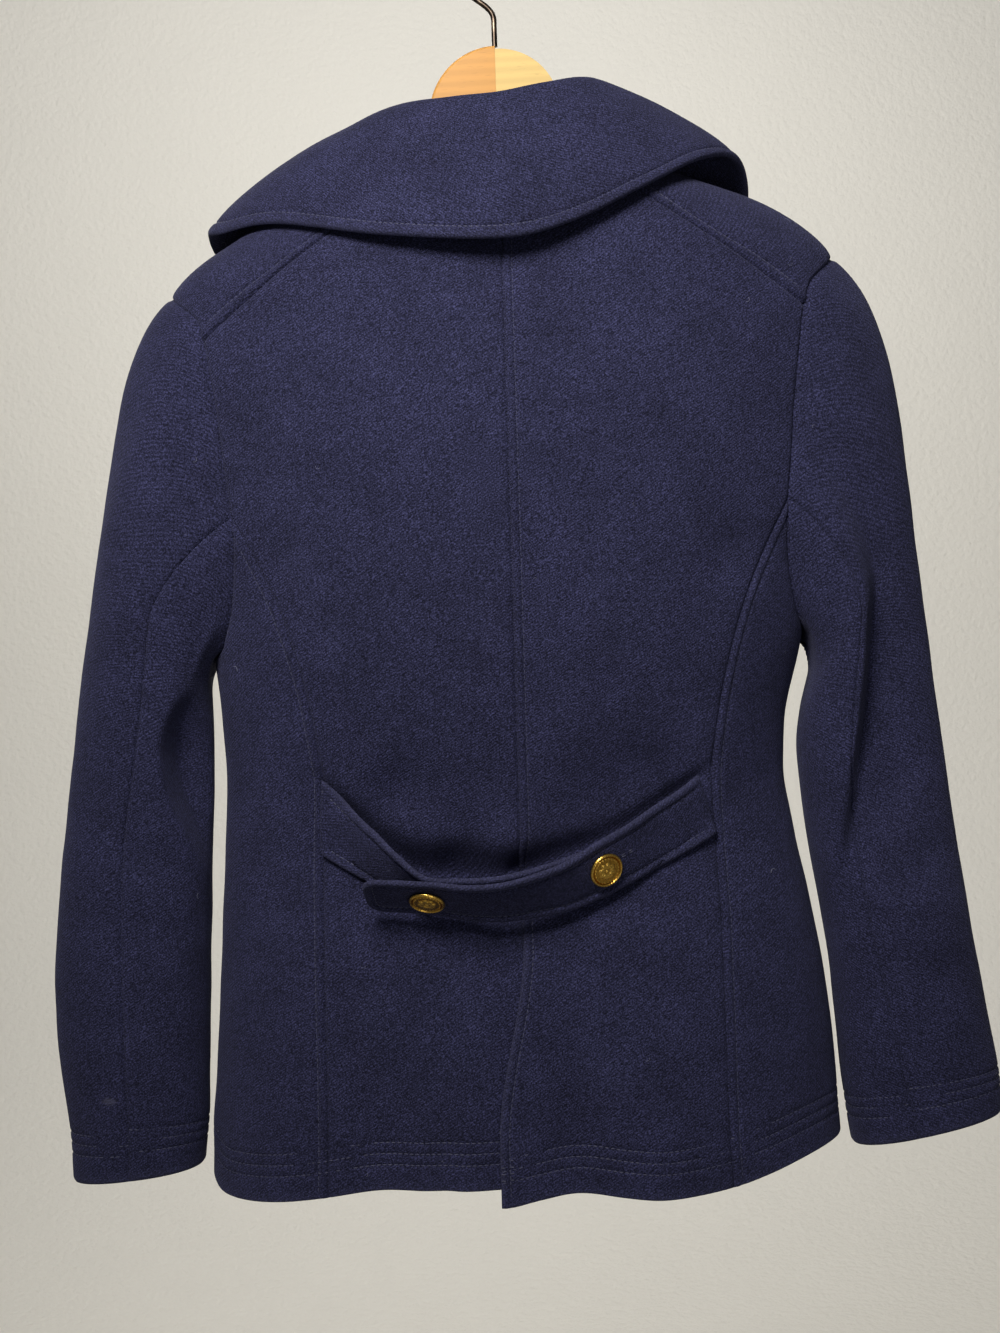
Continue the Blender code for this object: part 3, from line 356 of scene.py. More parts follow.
def sleeve_ring(side, angle, down):
    """A point below the sleeve head. down is the height of the ring's centre."""
    rows, tuck = (SLEEVE_LEFT, TUCK_LEFT) if side < 0 else (SLEEVE_RIGHT, TUCK_RIGHT)
    at = {name: smooth(down, rows["z"], rows[name]) for name in rows if name != "z"}
    seat = np.radians(angle + at["turn"])
    sine, cosine = np.sin(seat), np.cos(seat)
    stretch = (np.abs(sine) ** 2.3 + np.abs(cosine) ** 2.3) ** (-1 / 2.3)
    out = at["wide"] * sine * stretch
    z = down + at["rise"] * out / at["wide"]
    distance = at["mid"] + out
    edge, share = smooth(z, tuck["z"], tuck["edge"]), smooth(z, tuck["z"], tuck["share"])
    beyond = (edge - distance) if side < 0 else (distance - edge)
    lost = np.clip(share, 0, 1) * ease(beyond / (2 * TUCK_SOFT) + 0.5) * (cosine > 0)
    y = at["y"] - at["deep"] * cosine * stretch * (1 - lost)
    return np.stack([side * distance, y, z], -1)


HEAD_SHARE = 0.36


def sleeve(side):
    """The surface of one sleeve: angle is 0 on the back seam and 90 outwards; along is 0 at the
    armhole and 100 at the cuff."""
    rows = SLEEVE_LEFT if side < 0 else SLEEVE_RIGHT
    top, cuff = rows["z"].max(), rows["z"].min()

    def surface(angle, along):
        angle, along = np.broadcast_arrays(np.asarray(angle, float), np.asarray(along, float) / 100)
        ring = top + (cuff - top) * np.clip((along - HEAD_SHARE) / (1 - HEAD_SHARE), 0, 1)
        low = sleeve_ring(side, angle, ring)
        turn, z = armhole(side, angle)
        start = body(turn, z)
        start[..., 2] -= LEAN * start[..., 0] * ease((start[..., 2] - LEAN_FROM) / LEAN_OVER)
        end = sleeve_ring(side, angle, np.full_like(angle, top))
        span = np.linalg.norm(end - start, axis=-1, keepdims=True)
        back = np.cos(np.radians(angle))[..., None]
        level = np.ones_like(back)
        leave = unit(np.concatenate([side * 0.78 * level, -0.22 * back, -0.62 * level], -1))
        t = np.clip(along / HEAD_SHARE, 0, 1)[..., None]
        below = sleeve_ring(side, angle, np.full_like(angle, top - 8)) - end
        arrive = unit(below)
        head = (start * (1 + 2 * t) * (1 - t) ** 2 + end * t * t * (3 - 2 * t)
                + 0.85 * span * t * (1 - t) * (leave * (1 - t) - arrive * t))
        return lean(np.where(along[..., None] < HEAD_SHARE, head, low))

    return surface


def hemmed(outline, back=0):
    """Lets the hem of a body panel down or up to HEM. The change fades out up the skirt. back is -1 for
    the left back panel and 1 for the right one."""
    turn, z = np.array(outline).T
    level = {-1: np.minimum(turn, VENT_TURNS[0]), 0: turn, 1: np.maximum(turn, VENT_TURNS[1])}[back]
    change = smooth(level, HEM["turn"], HEM["z"]) - HEM_Z
    return list(zip(turn, z + change * np.clip((-700 - z) / (-700 - HEM_Z), 0, 1)))


def neckline_z(turn):
    """Height of the neck seam at a turn on the body, lower towards the front."""
    return -152.5 - 16 * ease((np.abs(turn) - 95) / 45)


def vent_share(z):
    """0 at the top of the vent, 1 once its two layers are fully apart."""
    return ease((VENT_TOP_Z - 2 - z) / 22)


def right_vent_out(turn, z):
    """How far the right back panel's vent stands out over the left one's."""
    x = body(turn, z)[..., 0]
    return 3.6 * vent_share(z) * ease((48 - x) / 70)


def left_vent_out(turn, z):
    """How far the left back panel's vent sinks in under the right one's, as a negative number."""
    x = body(turn, z)[..., 0]
    return -3.4 * vent_share(z) * ease((x + 34) / 30)


def vent_x(side, z):
    """Where each back panel ends at the vent: the right one laps over, the left one under."""
    open_share = ease((VENT_TOP_Z - 12 - z) / 125)
    return -19 * open_share if side > 0 else 26 * ease((VENT_TOP_Z - 14 - z) / 22)


def over_out(turn, z):
    """The upper front rises over the lower one, its lapel and its own seam allowance."""
    x = body(turn, z)[..., 0]
    return 9.5 * ease((118 - x) / 60) * ease((turn - 95) / 30) * ease((neckline_z(turn) - 8 - z) / 32)


def collar(angle, rise):
    """Middle of the collar's cloth: rise 0 is the neck seam, 40 the top of the fold, 140 the edge."""
    angle, rise = np.broadcast_arrays(np.asarray(angle, float), np.asarray(rise, float))
    at = {name: smooth(angle, COLLAR["angle"], COLLAR[name]) for name in COLLAR if name != "angle"}
    seam = body(at["seam"], neckline_z(at["seam"]))
    seam[..., 2] += 1.6 - LEAN * seam[..., 0]
    fold = np.stack([at["fx"], at["fy"], at["fz"]], -1)
    edge = np.stack([at["ex"], at["ey"], at["ez"]], -1)
    away = (edge - seam) * np.array([1, 1, 0])
    away = unit(away)
    up = np.array([0, 0, 1.0])
    height = (fold - seam)[..., 2:]
    drop = np.linalg.norm(edge - fold, axis=-1, keepdims=True)
    s = np.clip(rise / 40, 0, 1)[..., None]
    stand = bezier(seam, seam + up * height * 0.55, fold - away * 7 - up * 1.0, fold, s)
    f = np.clip((rise - 40) / 100, 0, 1)[..., None]
    hang = unit(edge - fold)
    puff = at["puff"][..., None]
    above_edge = edge - hang * drop * 0.42 + away * (4 + puff) + up * puff
    fall = bezier(fold, fold + away * 9 + up * 1.0, above_edge, edge, f)
    return lean(np.where(rise[..., None] < 40, stand, fall))


def bezier(p, q, r, s, t):
    return p * (1 - t) ** 3 + 3 * q * t * (1 - t) ** 2 + 3 * r * t * t * (1 - t) + s * t**3


def belt(rows):
    """Surface of one half-belt: reach runs along it, up across it."""
    order = np.argsort(rows["x"])
    x, z, lift, tilt = (rows[name][order] for name in ("x", "z", "lift", "tilt"))
    y = body(turn_at(x, z, -1), z)[:, 1] - lift
    middle = np.stack([x, y, z], -1)
    reach = np.concatenate([[0], np.cumsum(np.linalg.norm(np.diff(middle, axis=0), axis=1))])

    def surface(along, up):
        along, up = np.broadcast_arrays(np.asarray(along, float), np.asarray(up, float))
        behind, here, ahead = (np.stack([smooth(along + step, reach, middle[:, k]) for k in range(3)], -1)
                               for step in (-1, 0, 1))
        run = unit(ahead - behind)
        angle = np.radians(smooth(along, reach, tilt))
        rise = np.stack([0 * angle, -np.sin(angle), np.cos(angle)], -1)
        rise = unit(rise - run * np.sum(rise * run, -1, keepdims=True))
        place = here + rise * up[..., None]
        cloth = body(turn_at(place[..., 0], place[..., 2], -1), place[..., 2])[..., 1]
        place[..., 1] = np.minimum(place[..., 1], cloth - BELT_CLEAR)
        return place

    return surface, reach[-1]


# Soft creases, as (face, x, z) lines: face -1 is the coat's back, 1 its front. depth is inwards, so a
# negative one is a ridge.
CREASES = columns(
    "face  x0   z0    x1   z1    width depth",
    (-1, -150, -395, -128, -470, 13, 1.6),
    (-1, 146, -405, 124, -470, 13, 1.5),
    (-1, -62, -300, -52, -420, 20, 0.9),
    (-1, 52, -285, 66, -400, 22, 0.9),
    (-1, 165, -560, 128, -612, 14, 1.8),
    (-1, 160, -600, 130, -640, 12, 1.4),
    (-1, -172, -600, -140, -655, 14, 1.7),
    (-1, -165, -560, -138, -600, 12, -1.0),
    (-1, 30, -662, 70, -700, 14, 1.0),
    (-1, -40, -660, -62, -700, 14, 0.8),
    (-1, 60, -700, 62, -800, 18, -1.0),
    (-1, -255, -300, -243, -400, 16, 1.2),
    (-1, -240, -420, -258, -520, 14, -1.4),
    (-1, -285, -560, -240, -610, 12, 2.2),
    (-1, -292, -600, -262, -632, 12, -1.5),
    (-1, -250, -640, -222, -664, 12, 1.8),
    (-1, -296, -690, -268, -720, 14, 1.6),
    (-1, 232, -300, 240, -400, 16, 1.0),
    (-1, 262, -560, 232, -600, 12, 2.0),
    (-1, 278, -610, 246, -642, 12, 2.0),
    (-1, 214, -640, 240, -662, 11, 1.6),
    (-1, 286, -690, 262, -714, 12, 1.5),
    (1, -120, -420, -98, -520, 20, 1.6),
    (1, 128, -430, 110, -530, 20, 1.5),
    (1, -160, -600, -110, -640, 16, 1.6),
    (1, 165, -590, 118, -632, 16, 1.8),
    (1, -240, -500, -222, -560, 14, 2.2),
    (1, 232, -510, 216, -570, 14, 2.0),
    (1, -280, -600, -240, -628, 13, 1.8),
    (1, 276, -590, 236, -620, 13, 1.8),
    (1, 30, -640, 40, -800, 24, -1.2),
    (1, -120, -690, -124, -820, 24, 1.8),
)

# The back's cloth rolls in behind the top edge of the sagging belt: a trough centred at z, for each x.
HOLLOW = columns(
    "x    z    depth width",
    (-135, -553, 0, 7), (-118, -571, 7, 8), (-95, -596, 17, 10), (-72, -611, 25, 11), (-40, -618, 27, 12),
    (0, -618, 23, 11), (28, -612, 15, 10), (60, -599, 9, 8), (90, -581, 8, 7), (115, -566, 5, 7),
    (132, -553, 0, 7),
)

Stretch = namedtuple("Stretch", "kind rows points")   # kind is "seam", "edge" or "fold"


def creased(place, facing):
    """How far the creases push each point in."""
    total = np.zeros(len(place))
    for face, x0, z0, x1, z1, width, depth in zip(*CREASES.values()):
        run = np.array([x1 - x0, z1 - z0])
        length = np.hypot(*run)
        t = ((place[:, 0] - x0) * run[0] + (place[:, 2] - z0) * run[1]) / length**2
        away = ((place[:, 0] - x0) * run[1] - (place[:, 2] - z0) * run[0]) / length
        bow = 0.10 * length * np.sin(np.clip(t, 0, 1) * math.pi)
        ends = ease((t + 0.25) / 0.5) * ease((1.25 - t) / 0.5)
        total += ease(0.5 + 2 * facing * face) * depth * ends * bell(away - bow, width)
    x, z = place[:, 0], place[:, 2]
    at = {name: smooth(x, HOLLOW["x"], HOLLOW[name]) for name in ("z", "depth", "width")}
    inside_back = ease(-2 * facing) * (np.abs(x) < 140)
    return total + inside_back * at["depth"] * bell(z - at["z"], at["width"])


WAVES = np.random.default_rng(11).normal(size=(9, 3))     # directions of the cloth's slow swells
SWELLS = (34.0, 47.0, 61.0)                               # mm from one swell to the next


def uneven(place):
    """The slow unevenness of a pressed but worn cloth, in mm."""
    total = np.zeros(len(place))
    for k, way in enumerate(WAVES):
        length = SWELLS[k % len(SWELLS)]
        total += np.sin(place @ (way / np.linalg.norm(way)) * 2 * math.pi / length + k * 1.7)
    return total * 0.085


CHART_ROWS, CHART_COLUMNS = 90, 120


class Chart:
    """Lays a surface out flat, in mm: x along its first parameter, y along its second."""

    def __init__(self, surface, a_range, b_range):
        self.a, self.b = np.linspace(*a_range, CHART_COLUMNS), np.linspace(*b_range, CHART_ROWS)
        place = surface(*np.meshgrid(self.a, self.b))
        across = np.linalg.norm(np.diff(place, axis=1), axis=2)
        self.x = np.concatenate([np.zeros((CHART_ROWS, 1)), np.cumsum(across, axis=1)], axis=1)
        middle = CHART_COLUMNS // 2
        self.x -= self.x[:, middle:middle + 1]
        down = np.linalg.norm(np.diff(place, axis=0), axis=2).mean(axis=1)
        self.y = np.concatenate([[0], np.cumsum(down)])

    def rows_at(self, b):
        i = np.clip(np.searchsorted(self.b, b) - 1, 0, len(self.b) - 2)
        t = ((b - self.b[i]) / (self.b[i + 1] - self.b[i]))[:, None]
        return self.x[i] * (1 - t) + self.x[i + 1] * t

    def flat(self, a, b):
        row = self.rows_at(b)
        j = np.clip(np.searchsorted(self.a, a) - 1, 0, len(self.a) - 2)
        s = (a - self.a[j]) / (self.a[j + 1] - self.a[j])
        k = np.arange(len(a))
        return np.stack([row[k, j] * (1 - s) + row[k, j + 1] * s, np.interp(b, self.b, self.y)], -1)

    def param(self, flat):
        b = np.interp(flat[:, 1], self.y, self.b)
        row = self.rows_at(b)
        j = np.clip((row < flat[:, :1]).sum(1) - 1, 0, len(self.a) - 2)
        k = np.arange(len(flat))
        s = (flat[:, 0] - row[k, j]) / (row[k, j + 1] - row[k, j])
        return self.a[j] + s * (self.a[j + 1] - self.a[j]), b


def evenly(surface, points, step):
    """Points along a run of (a, b), a step apart on the surface, both ends kept."""
    points = np.array(points, float)
    pieces = [np.linspace(p, q, 9)[:-1] for p, q in zip(points[:-1], points[1:])]
    fine = np.concatenate([*pieces, points[-1:]])
    place = surface(fine[:, 0], fine[:, 1])
    length = np.concatenate([[0], np.cumsum(np.linalg.norm(np.diff(place, axis=0), axis=1))])
    at = np.linspace(0, length[-1], max(1, round(length[-1] / step)) + 1)
    return np.stack([np.interp(at, length, fine[:, k]) for k in (0, 1)], -1)


def tree_of(points):
    tree = KDTree(len(points))
    for k, p in enumerate(points):
        tree.insert((*p[:2], 0), k)
    tree.balance()
    return tree


def nearest(tree, points):
    """Distance from each flat point to the nearest point of a tree."""
    return np.array([tree.find((x, y, 0))[2] for x, y in points])


def distance_to(points, line):
    """Flat distance from each point to a run of straight pieces, in mm."""
    tree = tree_of(line)
    near = np.array([tree.find((x, y, 0))[1] for x, y in points], int)
    best = np.full(len(points), np.inf)
    for low, high in ((np.maximum(near - 1, 0), near), (near, np.minimum(near + 1, len(line) - 1))):
        side = line[high] - line[low]
        t = np.clip(((points - line[low]) * side).sum(1) / np.maximum((side * side).sum(1), 1e-9), 0, 1)
        best = np.minimum(best, np.linalg.norm(points - line[low] - t[:, None] * side, axis=1))
    return best


TRIANGLE_RISE = 0.866     # height of an even triangle, per side


def lattice(ring, spacing):
    """Points of an even triangular lattice inside a closed flat line."""
    following = np.roll(ring, -1, axis=0)
    made = []
    rise = spacing * TRIANGLE_RISE
    for k, y in enumerate(np.arange(ring[:, 1].min() + rise / 2, ring[:, 1].max(), rise)):
        cut = (ring[:, 1] > y) != (following[:, 1] > y)
        p, q = ring[cut], following[cut]
        xs = np.sort(p[:, 0] + (y - p[:, 1]) / (q[:, 1] - p[:, 1]) * (q[:, 0] - p[:, 0]))
        for low, high in zip(xs[::2], xs[1::2]):
            first = math.ceil(low / spacing - 0.5 * (k % 2)) + 0.5 * (k % 2)
            across = np.arange(first * spacing, high, spacing)
            made.append(np.stack([across, np.full(len(across), y)], -1))
    return np.concatenate(made)


RING_STEP = 2.6           # mm between the points of a cut edge
EDGE_OFFSETS = (0.4, 0.95, 1.7, 2.7, 3.9)             # lines of points that follow a seam or an edge
ROW_OFFSETS = (-1.6, -0.8, 0.0, 0.8, 1.6)             # lines of points that follow a topstitched row
LEAST_GAP = 0.5           # mm between two points of such lines
INNER_SPACING, INNER_GAP = 9.0, 5.0                   # the inner face's mesh, and its distance from the edge
EDGE_ROUND = 0.86         # share of the half thickness that a cut edge loses on each face
SWELL_RISE = 14.0         # mm from an edge over which the slow swells grow
WEAR_WIDTH = 2.2          # mm from an edge over which the rubbing fades
ROW_PULL = 1.0            # how near its row the cloth starts to sink
LEAST_RUN = 3             # points of a row that are worth stitching
CROSS_GAP = 0.8           # how near another seam a row may come


class Cloth:
    """One cut piece: its outline on a surface, and the heights that its seams, edges, rows and creases
    give it."""

    def __init__(self, surface, stretches, thick=CLOTH, sign=1, out=None, middle=False, face=None,
                 worn=None, marks=()):
        self.surface, self.thick, self.out, self.middle = surface, thick, out, middle
        self.worn, self.marks = worn or creased, marks
        self.face = face or (lambda a, b: sign * normals(surface, a, b, 0.08, 0.08))
        runs = [evenly(surface, s.points, RING_STEP) for s in stretches]
        corners = np.concatenate(runs)
        margin = 0.02 * (corners.max(0) - corners.min(0))
        self.chart = Chart(surface, *zip(corners.min(0) - margin, corners.max(0) + margin))
        self.lines = [self.chart.flat(run[:, 0], run[:, 1]) for run in runs]
        self.stretches = stretches
        self.ring = np.concatenate([line[:-1] for line in self.lines])
        following = np.roll(self.ring, -1, axis=0)
        area = (self.ring[:, 0] * following[:, 1] - following[:, 0] * self.ring[:, 1]).sum() / 2
        self.turned, self.area = (1 if area > 0 else -1), abs(area)
        self.size = np.ptp(self.ring, axis=0)

    def inset(self, line, by):
        """The line moved into the piece."""
        run = np.gradient(line, axis=0)
        run /= np.maximum(np.linalg.norm(run, axis=1, keepdims=True), 1e-9)
        return line + by * self.turned * np.stack([-run[:, 1], run[:, 0]], -1)

    def heights(self, flat, place, facing):
        """(outer, shared, inner, edge): what is added to the outer face, to both and to the inner one, and
        the distance to the nearest free edge."""
        outer, shared, inner = np.zeros(len(flat)), np.zeros(len(flat)), np.zeros(len(flat))
        edge = np.full(len(flat), np.inf)
        for stretch, line in zip(self.stretches, self.lines):
            away = distance_to(flat, line)
            if stretch.kind == "seam":
                outer -= SEAM_DEPTH * bell(away, SEAM_ROLL)
                outer -= SEAM_DIP * bell(away, SEAM_DIP_WIDTH)
            if stretch.kind == "edge":
                edge = np.minimum(edge, away)
            for row in stretch.rows:
                outer -= ROW_DEPTH * bell(away - row, ROW_PULL)
                if row < NARROW_ROW:
                    outer += ROW_PLUMP * np.sin(math.pi * np.clip(away / row, 0, 1)) ** 0.8
        half = self.thick / 2
        round_off = EDGE_ROUND * half * (1 - np.sqrt(1 - (1 - np.clip(edge / half, 0, 1)) ** 2))
        outer, inner = outer - round_off, inner + round_off
        shared += uneven(place) * ease(edge / SWELL_RISE) - self.worn(place, facing)
        return outer, shared, inner, edge

    def points(self, flat):
        """Outer and inner points of the cloth at flat points, and how near each is to a free edge."""
        a, b = self.chart.param(flat)
        place = self.surface(a, b)
        normal = self.face(a, b)
        outer, shared, inner, edge = self.heights(flat, place, normal[:, 1])
        if self.out:
            shared = shared + self.out(a, b)
        top = self.thick / 2 if self.middle else 0
        return (place + normal * (shared + outer + top)[:, None],
                place + normal * (shared + inner + top - self.thick)[:, None], edge)

    def followed(self, ring_tree):
        """Flat points in lines that follow the seams, the edges and the rows of stitching."""
        kept = []
        for stretch, line in zip(self.stretches, self.lines):
            for by in [*EDGE_OFFSETS, *[row + off for row in stretch.rows for off in ROW_OFFSETS]]:
                moved = self.inset(line, by)
                kept.append(moved[nearest(ring_tree, moved) > 0.9 * by])
        rows = np.concatenate(kept)
        rows = rows[inside(rows, self.ring)]
        # Points of two rows that meet at a corner are thinned out.
        order, used, dropped = [], tree_of(rows), set()
        for k, p in enumerate(rows):
            if k in dropped:
                continue
            order.append(k)
            for _, j, _ in used.find_range((*p, 0), LEAST_GAP):
                if j > k:
                    dropped.add(j)
        return rows[order]

    def build(self, name, material, spacing):
        """The piece as a closed mesh: a fine outer face, a coarse inner one and a wall round the edge."""
        ring_tree = tree_of(self.ring)
        rows = self.followed(ring_tree)
        fill = lattice(self.ring, spacing)
        fill = fill[nearest(tree_of(np.concatenate([self.ring, rows])), fill) > 0.62 * spacing]
        outer_flat, outer_faces = mesh_flat(self.ring, np.concatenate([rows, fill]))
        coarse = lattice(self.ring, INNER_SPACING)
        inner_flat, inner_faces = mesh_flat(self.ring, coarse[nearest(ring_tree, coarse) > INNER_GAP])
        outer, _, edge = self.points(outer_flat)
        _, inner, inner_edge = self.points(inner_flat)
        count, total = len(self.ring), len(outer)
        k = np.arange(count)
        after = (k + 1) % count
        walls = np.stack([k, k + total, after + total, after], -1)
        mesh = bpy.data.meshes.new(name)
        mesh.from_pydata((np.concatenate([outer, inner]) * MM).tolist(), [],
                         outer_faces.tolist() + (inner_faces + total).tolist() + walls.tolist())
        flat = np.concatenate([outer_flat, inner_flat]) * MM
        layer = mesh.uv_layers.new(name="cut")
        index = np.empty(len(mesh.loops), np.int32)
        mesh.loops.foreach_get("vertex_index", index)
        layer.data.foreach_set("uv", flat[index].astype(np.float32).ravel())
        wear = mesh.attributes.new("rubbed", "FLOAT", "POINT")
        rubbed = np.exp(-np.concatenate([edge, inner_edge]) / WEAR_WIDTH)
        wear.data.foreach_set("value", rubbed.astype(np.float32))
        face_out(mesh)
        mesh.shade_smooth()
        return finished(name, mesh, material)

    def stitch_lines(self):
        """Rows of topstitching, as runs of points that lie on the outer face."""
        made = []
        for mark in self.marks:
            made.append(self.points(self.chart.flat(*evenly(self.surface, mark, 1.0).T))[0])
        for k, (stretch, line) in enumerate(zip(self.stretches, self.lines)):
            for row in stretch.rows:
                moved = self.inset(line, row)
                clear = inside(moved, self.ring)
                for j, other in enumerate(self.lines):
                    beside_edge = self.stretches[j].kind == "edge" and row < NARROW_ROW
                    other_gap = min(row, SEAM_ROW - 0.5) if beside_edge else CROSS_GAP
                    clear &= distance_to(moved, other) > (0.93 * row if j == k else other_gap)
                run = []
                for point, ok in list(zip(moved, clear)) + [(None, False)]:
                    if ok:
                        run.append(point)
                        continue
                    if len(run) > LEAST_RUN:
                        made.append(self.points(np.array(run))[0])
                    run = []
        return made


def inside(points, ring):
    """Which flat points are inside a closed line."""
    following = np.roll(ring, -1, axis=0)
    hit = np.zeros(len(points), int)
    for p, q in zip(ring, following):
        if p[1] != q[1]:
            cut = (points[:, 1] < p[1]) != (points[:, 1] < q[1])
            hit += cut & (points[:, 0] < p[0] + (points[:, 1] - p[1]) / (q[1] - p[1]) * (q[0] - p[0]))
    return hit % 2 == 1


def mesh_flat(ring, inner):
    """Triangles that fill the ring, through the inner points. The ring's points come first."""
    coordinates = [tuple(p) for p in np.concatenate([ring, inner])]
    points, _, faces, origin, _, _ = delaunay_2d_cdt(coordinates, [], [list(range(len(ring)))], 1, 1e-5)
    points = np.array([tuple(p) for p in points])
    first = np.full(len(points), -1)
    place_of = {}
    for k, sources in enumerate(origin):
        for source in sources:
            place_of[source] = k
    order = [place_of[k] for k in range(len(ring))]
    rest = sorted(set(range(len(points))) - set(order))
    order = np.array(order + rest)
    first[order] = np.arange(len(order))
    return points[order], first[np.array(faces, int)]


def face_out(mesh, weld=0.0):
    """Joins points that are within weld metres of each other, then turns the faces outwards."""
    work = bmesh.new()
    work.from_mesh(mesh)
    if weld:
        bmesh.ops.remove_doubles(work, verts=work.verts, dist=weld)
    bmesh.ops.recalc_face_normals(work, faces=work.faces)
    work.to_mesh(mesh)
    work.free()


def in_scene(name, data):
    """A new object of this data, in the scene."""
    made = bpy.data.objects.new(name, data)
    bpy.context.scene.collection.objects.link(made)
    return made


def finished(name, mesh, material):
    """Puts a finished mesh in the scene as an object with its material."""
    made = in_scene(name, mesh)
    mesh.materials.clear()
    mesh.materials.append(material)
    return made


def whole_mesh(made, name):
    """The object as its modifiers show it, as a plain mesh; the object itself is removed."""
    bpy.context.view_layer.update()
    shown = made.evaluated_get(bpy.context.evaluated_depsgraph_get())
    mesh = bpy.data.meshes.new_from_object(shown)
    mesh.transform(made.matrix_world)
    mesh.name = name
    bpy.data.objects.remove(made)
    return mesh


def stations(start, end, step):
    """Values from start to end, both included, no further apart than step."""
    return np.linspace(start, end, max(1, math.ceil(abs(end - start) / step - 1e-6)) + 1)


def at_x(curve, side, face, z_values):
    """A seam as (turn, z) points, from its half widths."""
    z_values = np.asarray(z_values, float)
    return list(zip(turn_at(side * smooth(z_values, curve["z"], curve["x"]), z_values, face), z_values))


ARM_STEP = 2.5            # degrees round the armhole


def along_armhole(side, start, end):
    turn, z = armhole(side, stations(start, end, ARM_STEP))
    return list(zip(turn, z))


def on_front(points, side, step=12.0):
    """Straight runs between corners (x, z) on the front, as (turn, z). Past the centre line the turn
    runs on beyond 180."""
    made = []
    for (x0, z0), (x1, z1) in zip(points[:-1], points[1:]):
        t = stations(0, 1, step / math.hypot(x1 - x0, z1 - z0))
        x, z = x0 + (x1 - x0) * t, z0 + (z1 - z0) * t
        turn = turn_at(side * x, z, 1)
        made += list(zip(np.where(turn * side < 0, turn + side * 360, turn), z))
    return made


def seam(points, *rows):
    return Stretch("seam", rows, points)


def edge(points, *rows):
    return Stretch("edge", rows, points)


def hem(turns, back=0):
    return edge(hemmed([(t, HEM_Z) for t in turns], back), *HEM_ROWS)


def shoulder(side, *rows):
    return seam(at_x(SHOULDER, side, -1, stations(SHOULDER["z"].min(), SHOULDER["z"].max(), 6.0)), *rows)


NECK_X = 58.0                                  # where the shoulder seam meets the neck seam


def neck_turn():
    return abs(float(turn_at(NECK_X, -153.0, -1)))


TACKS = (17, 21, 25, 29)               # heights of the bar tacks above the hem, at the vent


def back_cloth(side):
    """Centre-back panel. The right one laps over the left one at the vent."""
    top_z, low_x = VENT_TOP_Z, vent_x(side, HEM_Z)
    edge_x = side * float(smooth(HEM_Z, PRINCESS["z"], PRINCESS["x"]))
    vent_z = stations(HEM_Z, top_z, 6.0)[::-1]
    vent = [(float(turn_at(vent_x(side, z), z, -1)), z) for z in vent_z]
    row, tacks, out = (), [], left_vent_out
    if side > 0:
        row, out = (SEAM_ROW,), right_vent_out
        ends = [float(turn_at(low_x + across, HEM_Z, -1)) for across in (1.5, 7)]
        tacks = [hemmed([(turn, HEM_Z + up) for turn in ends], side) for up in TACKS]
    return Cloth(body, [
        hem([float(turn_at(x, HEM_Z, -1)) for x in np.linspace(low_x, edge_x, 40)], side),
        seam(hemmed(at_x(PRINCESS, side, -1, stations(HEM_Z, PRINCESS["z"].max(), 8.0)))),
        seam(along_armhole(side, PRINCESS_AT, SHOULDER_AT)),
        shoulder(side),
        seam([(t, float(neckline_z(t))) for t in side * stations(neck_turn(), 0, 4.0)]),
        seam([(0, z) for z in stations(-152.5, top_z, 12.0)], *row),
        edge(hemmed(vent, side), *row),
    ], out=out, marks=tacks)


def side_cloth(side):
    """Panel from the curved back seam round to the front's side seam."""
    back, front = (float(at_x(curve, side, face, [HEM_Z])[0][0])
                   for curve, face in ((PRINCESS, -1), (FRONT_SIDE, 1)))
    return Cloth(body, [
        hem(stations(back, front, 3.0)),
        seam(hemmed(at_x(FRONT_SIDE, side, 1, stations(HEM_Z, FRONT_SIDE["z"].max(), 8.0)))),
        seam(along_armhole(side, FRONT_SIDE_AT, 360 + PRINCESS_AT)),
        seam(hemmed(at_x(PRINCESS, side, -1, stations(HEM_Z, PRINCESS["z"].max(), 8.0)[::-1])), SEAM_ROW),
    ])


def front_cloth(side):
    edge_x = -(OVERLAP - 2)
    side_turn = float(at_x(FRONT_SIDE, side, 1, [HEM_Z])[0][0])
    edge_turn = float(on_front([(edge_x, HEM_Z), (edge_x, HEM_Z + 1)], side)[0][0])
    neck = float(on_front([LAPEL["neck"], LAPEL["notch"]], side)[0][0])
    neck_z = LAPEL["neck"][1]
    neckline = [(t, float(neckline_z(t)) if abs(t) < abs(neck) - 8 else neck_z + 4)
                for t in side * stations(abs(neck) - 6, neck_turn(), 4.0)]
    down = on_front([(edge_x, HEM_Z), LAPEL["break"]], side)
    roll = on_front([LAPEL["break"], LAPEL["neck"]], side)
    return Cloth(body, [
        hem(stations(side_turn, edge_turn, 3.0)),
        edge(hemmed(down), SEAM_ROW),
        edge(roll),
        seam([roll[-1], *neckline]),
        Stretch("seam", (SHOULDER_ROW,), shoulder(side).points[::-1]),
        seam(along_armhole(side, SHOULDER_AT, FRONT_SIDE_AT)),
        seam(hemmed(at_x(FRONT_SIDE, side, 1, stations(HEM_Z, FRONT_SIDE["z"].max(), 8.0)[::-1])), SEAM_ROW),
    ], out=over_out if side > 0 else None)


def lapel_cloth(side):
    corners = [LAPEL["break"], LAPEL["tip"], LAPEL["notch"], LAPEL["neck"]]
    if side < 0:
        corners[0] = (-8, -302)

    def out(turn, z):
        return CLOTH + 2.2 + (over_out(turn, z) if side > 0 else 0 * turn)

    runs = [on_front(pair, side) for pair in zip(corners, corners[1:] + corners[:1])]
    return Cloth(body, [edge(runs[0], SEAM_ROW), edge(runs[1], SEAM_ROW), seam(runs[2]), edge(runs[3])],
                 out=out)


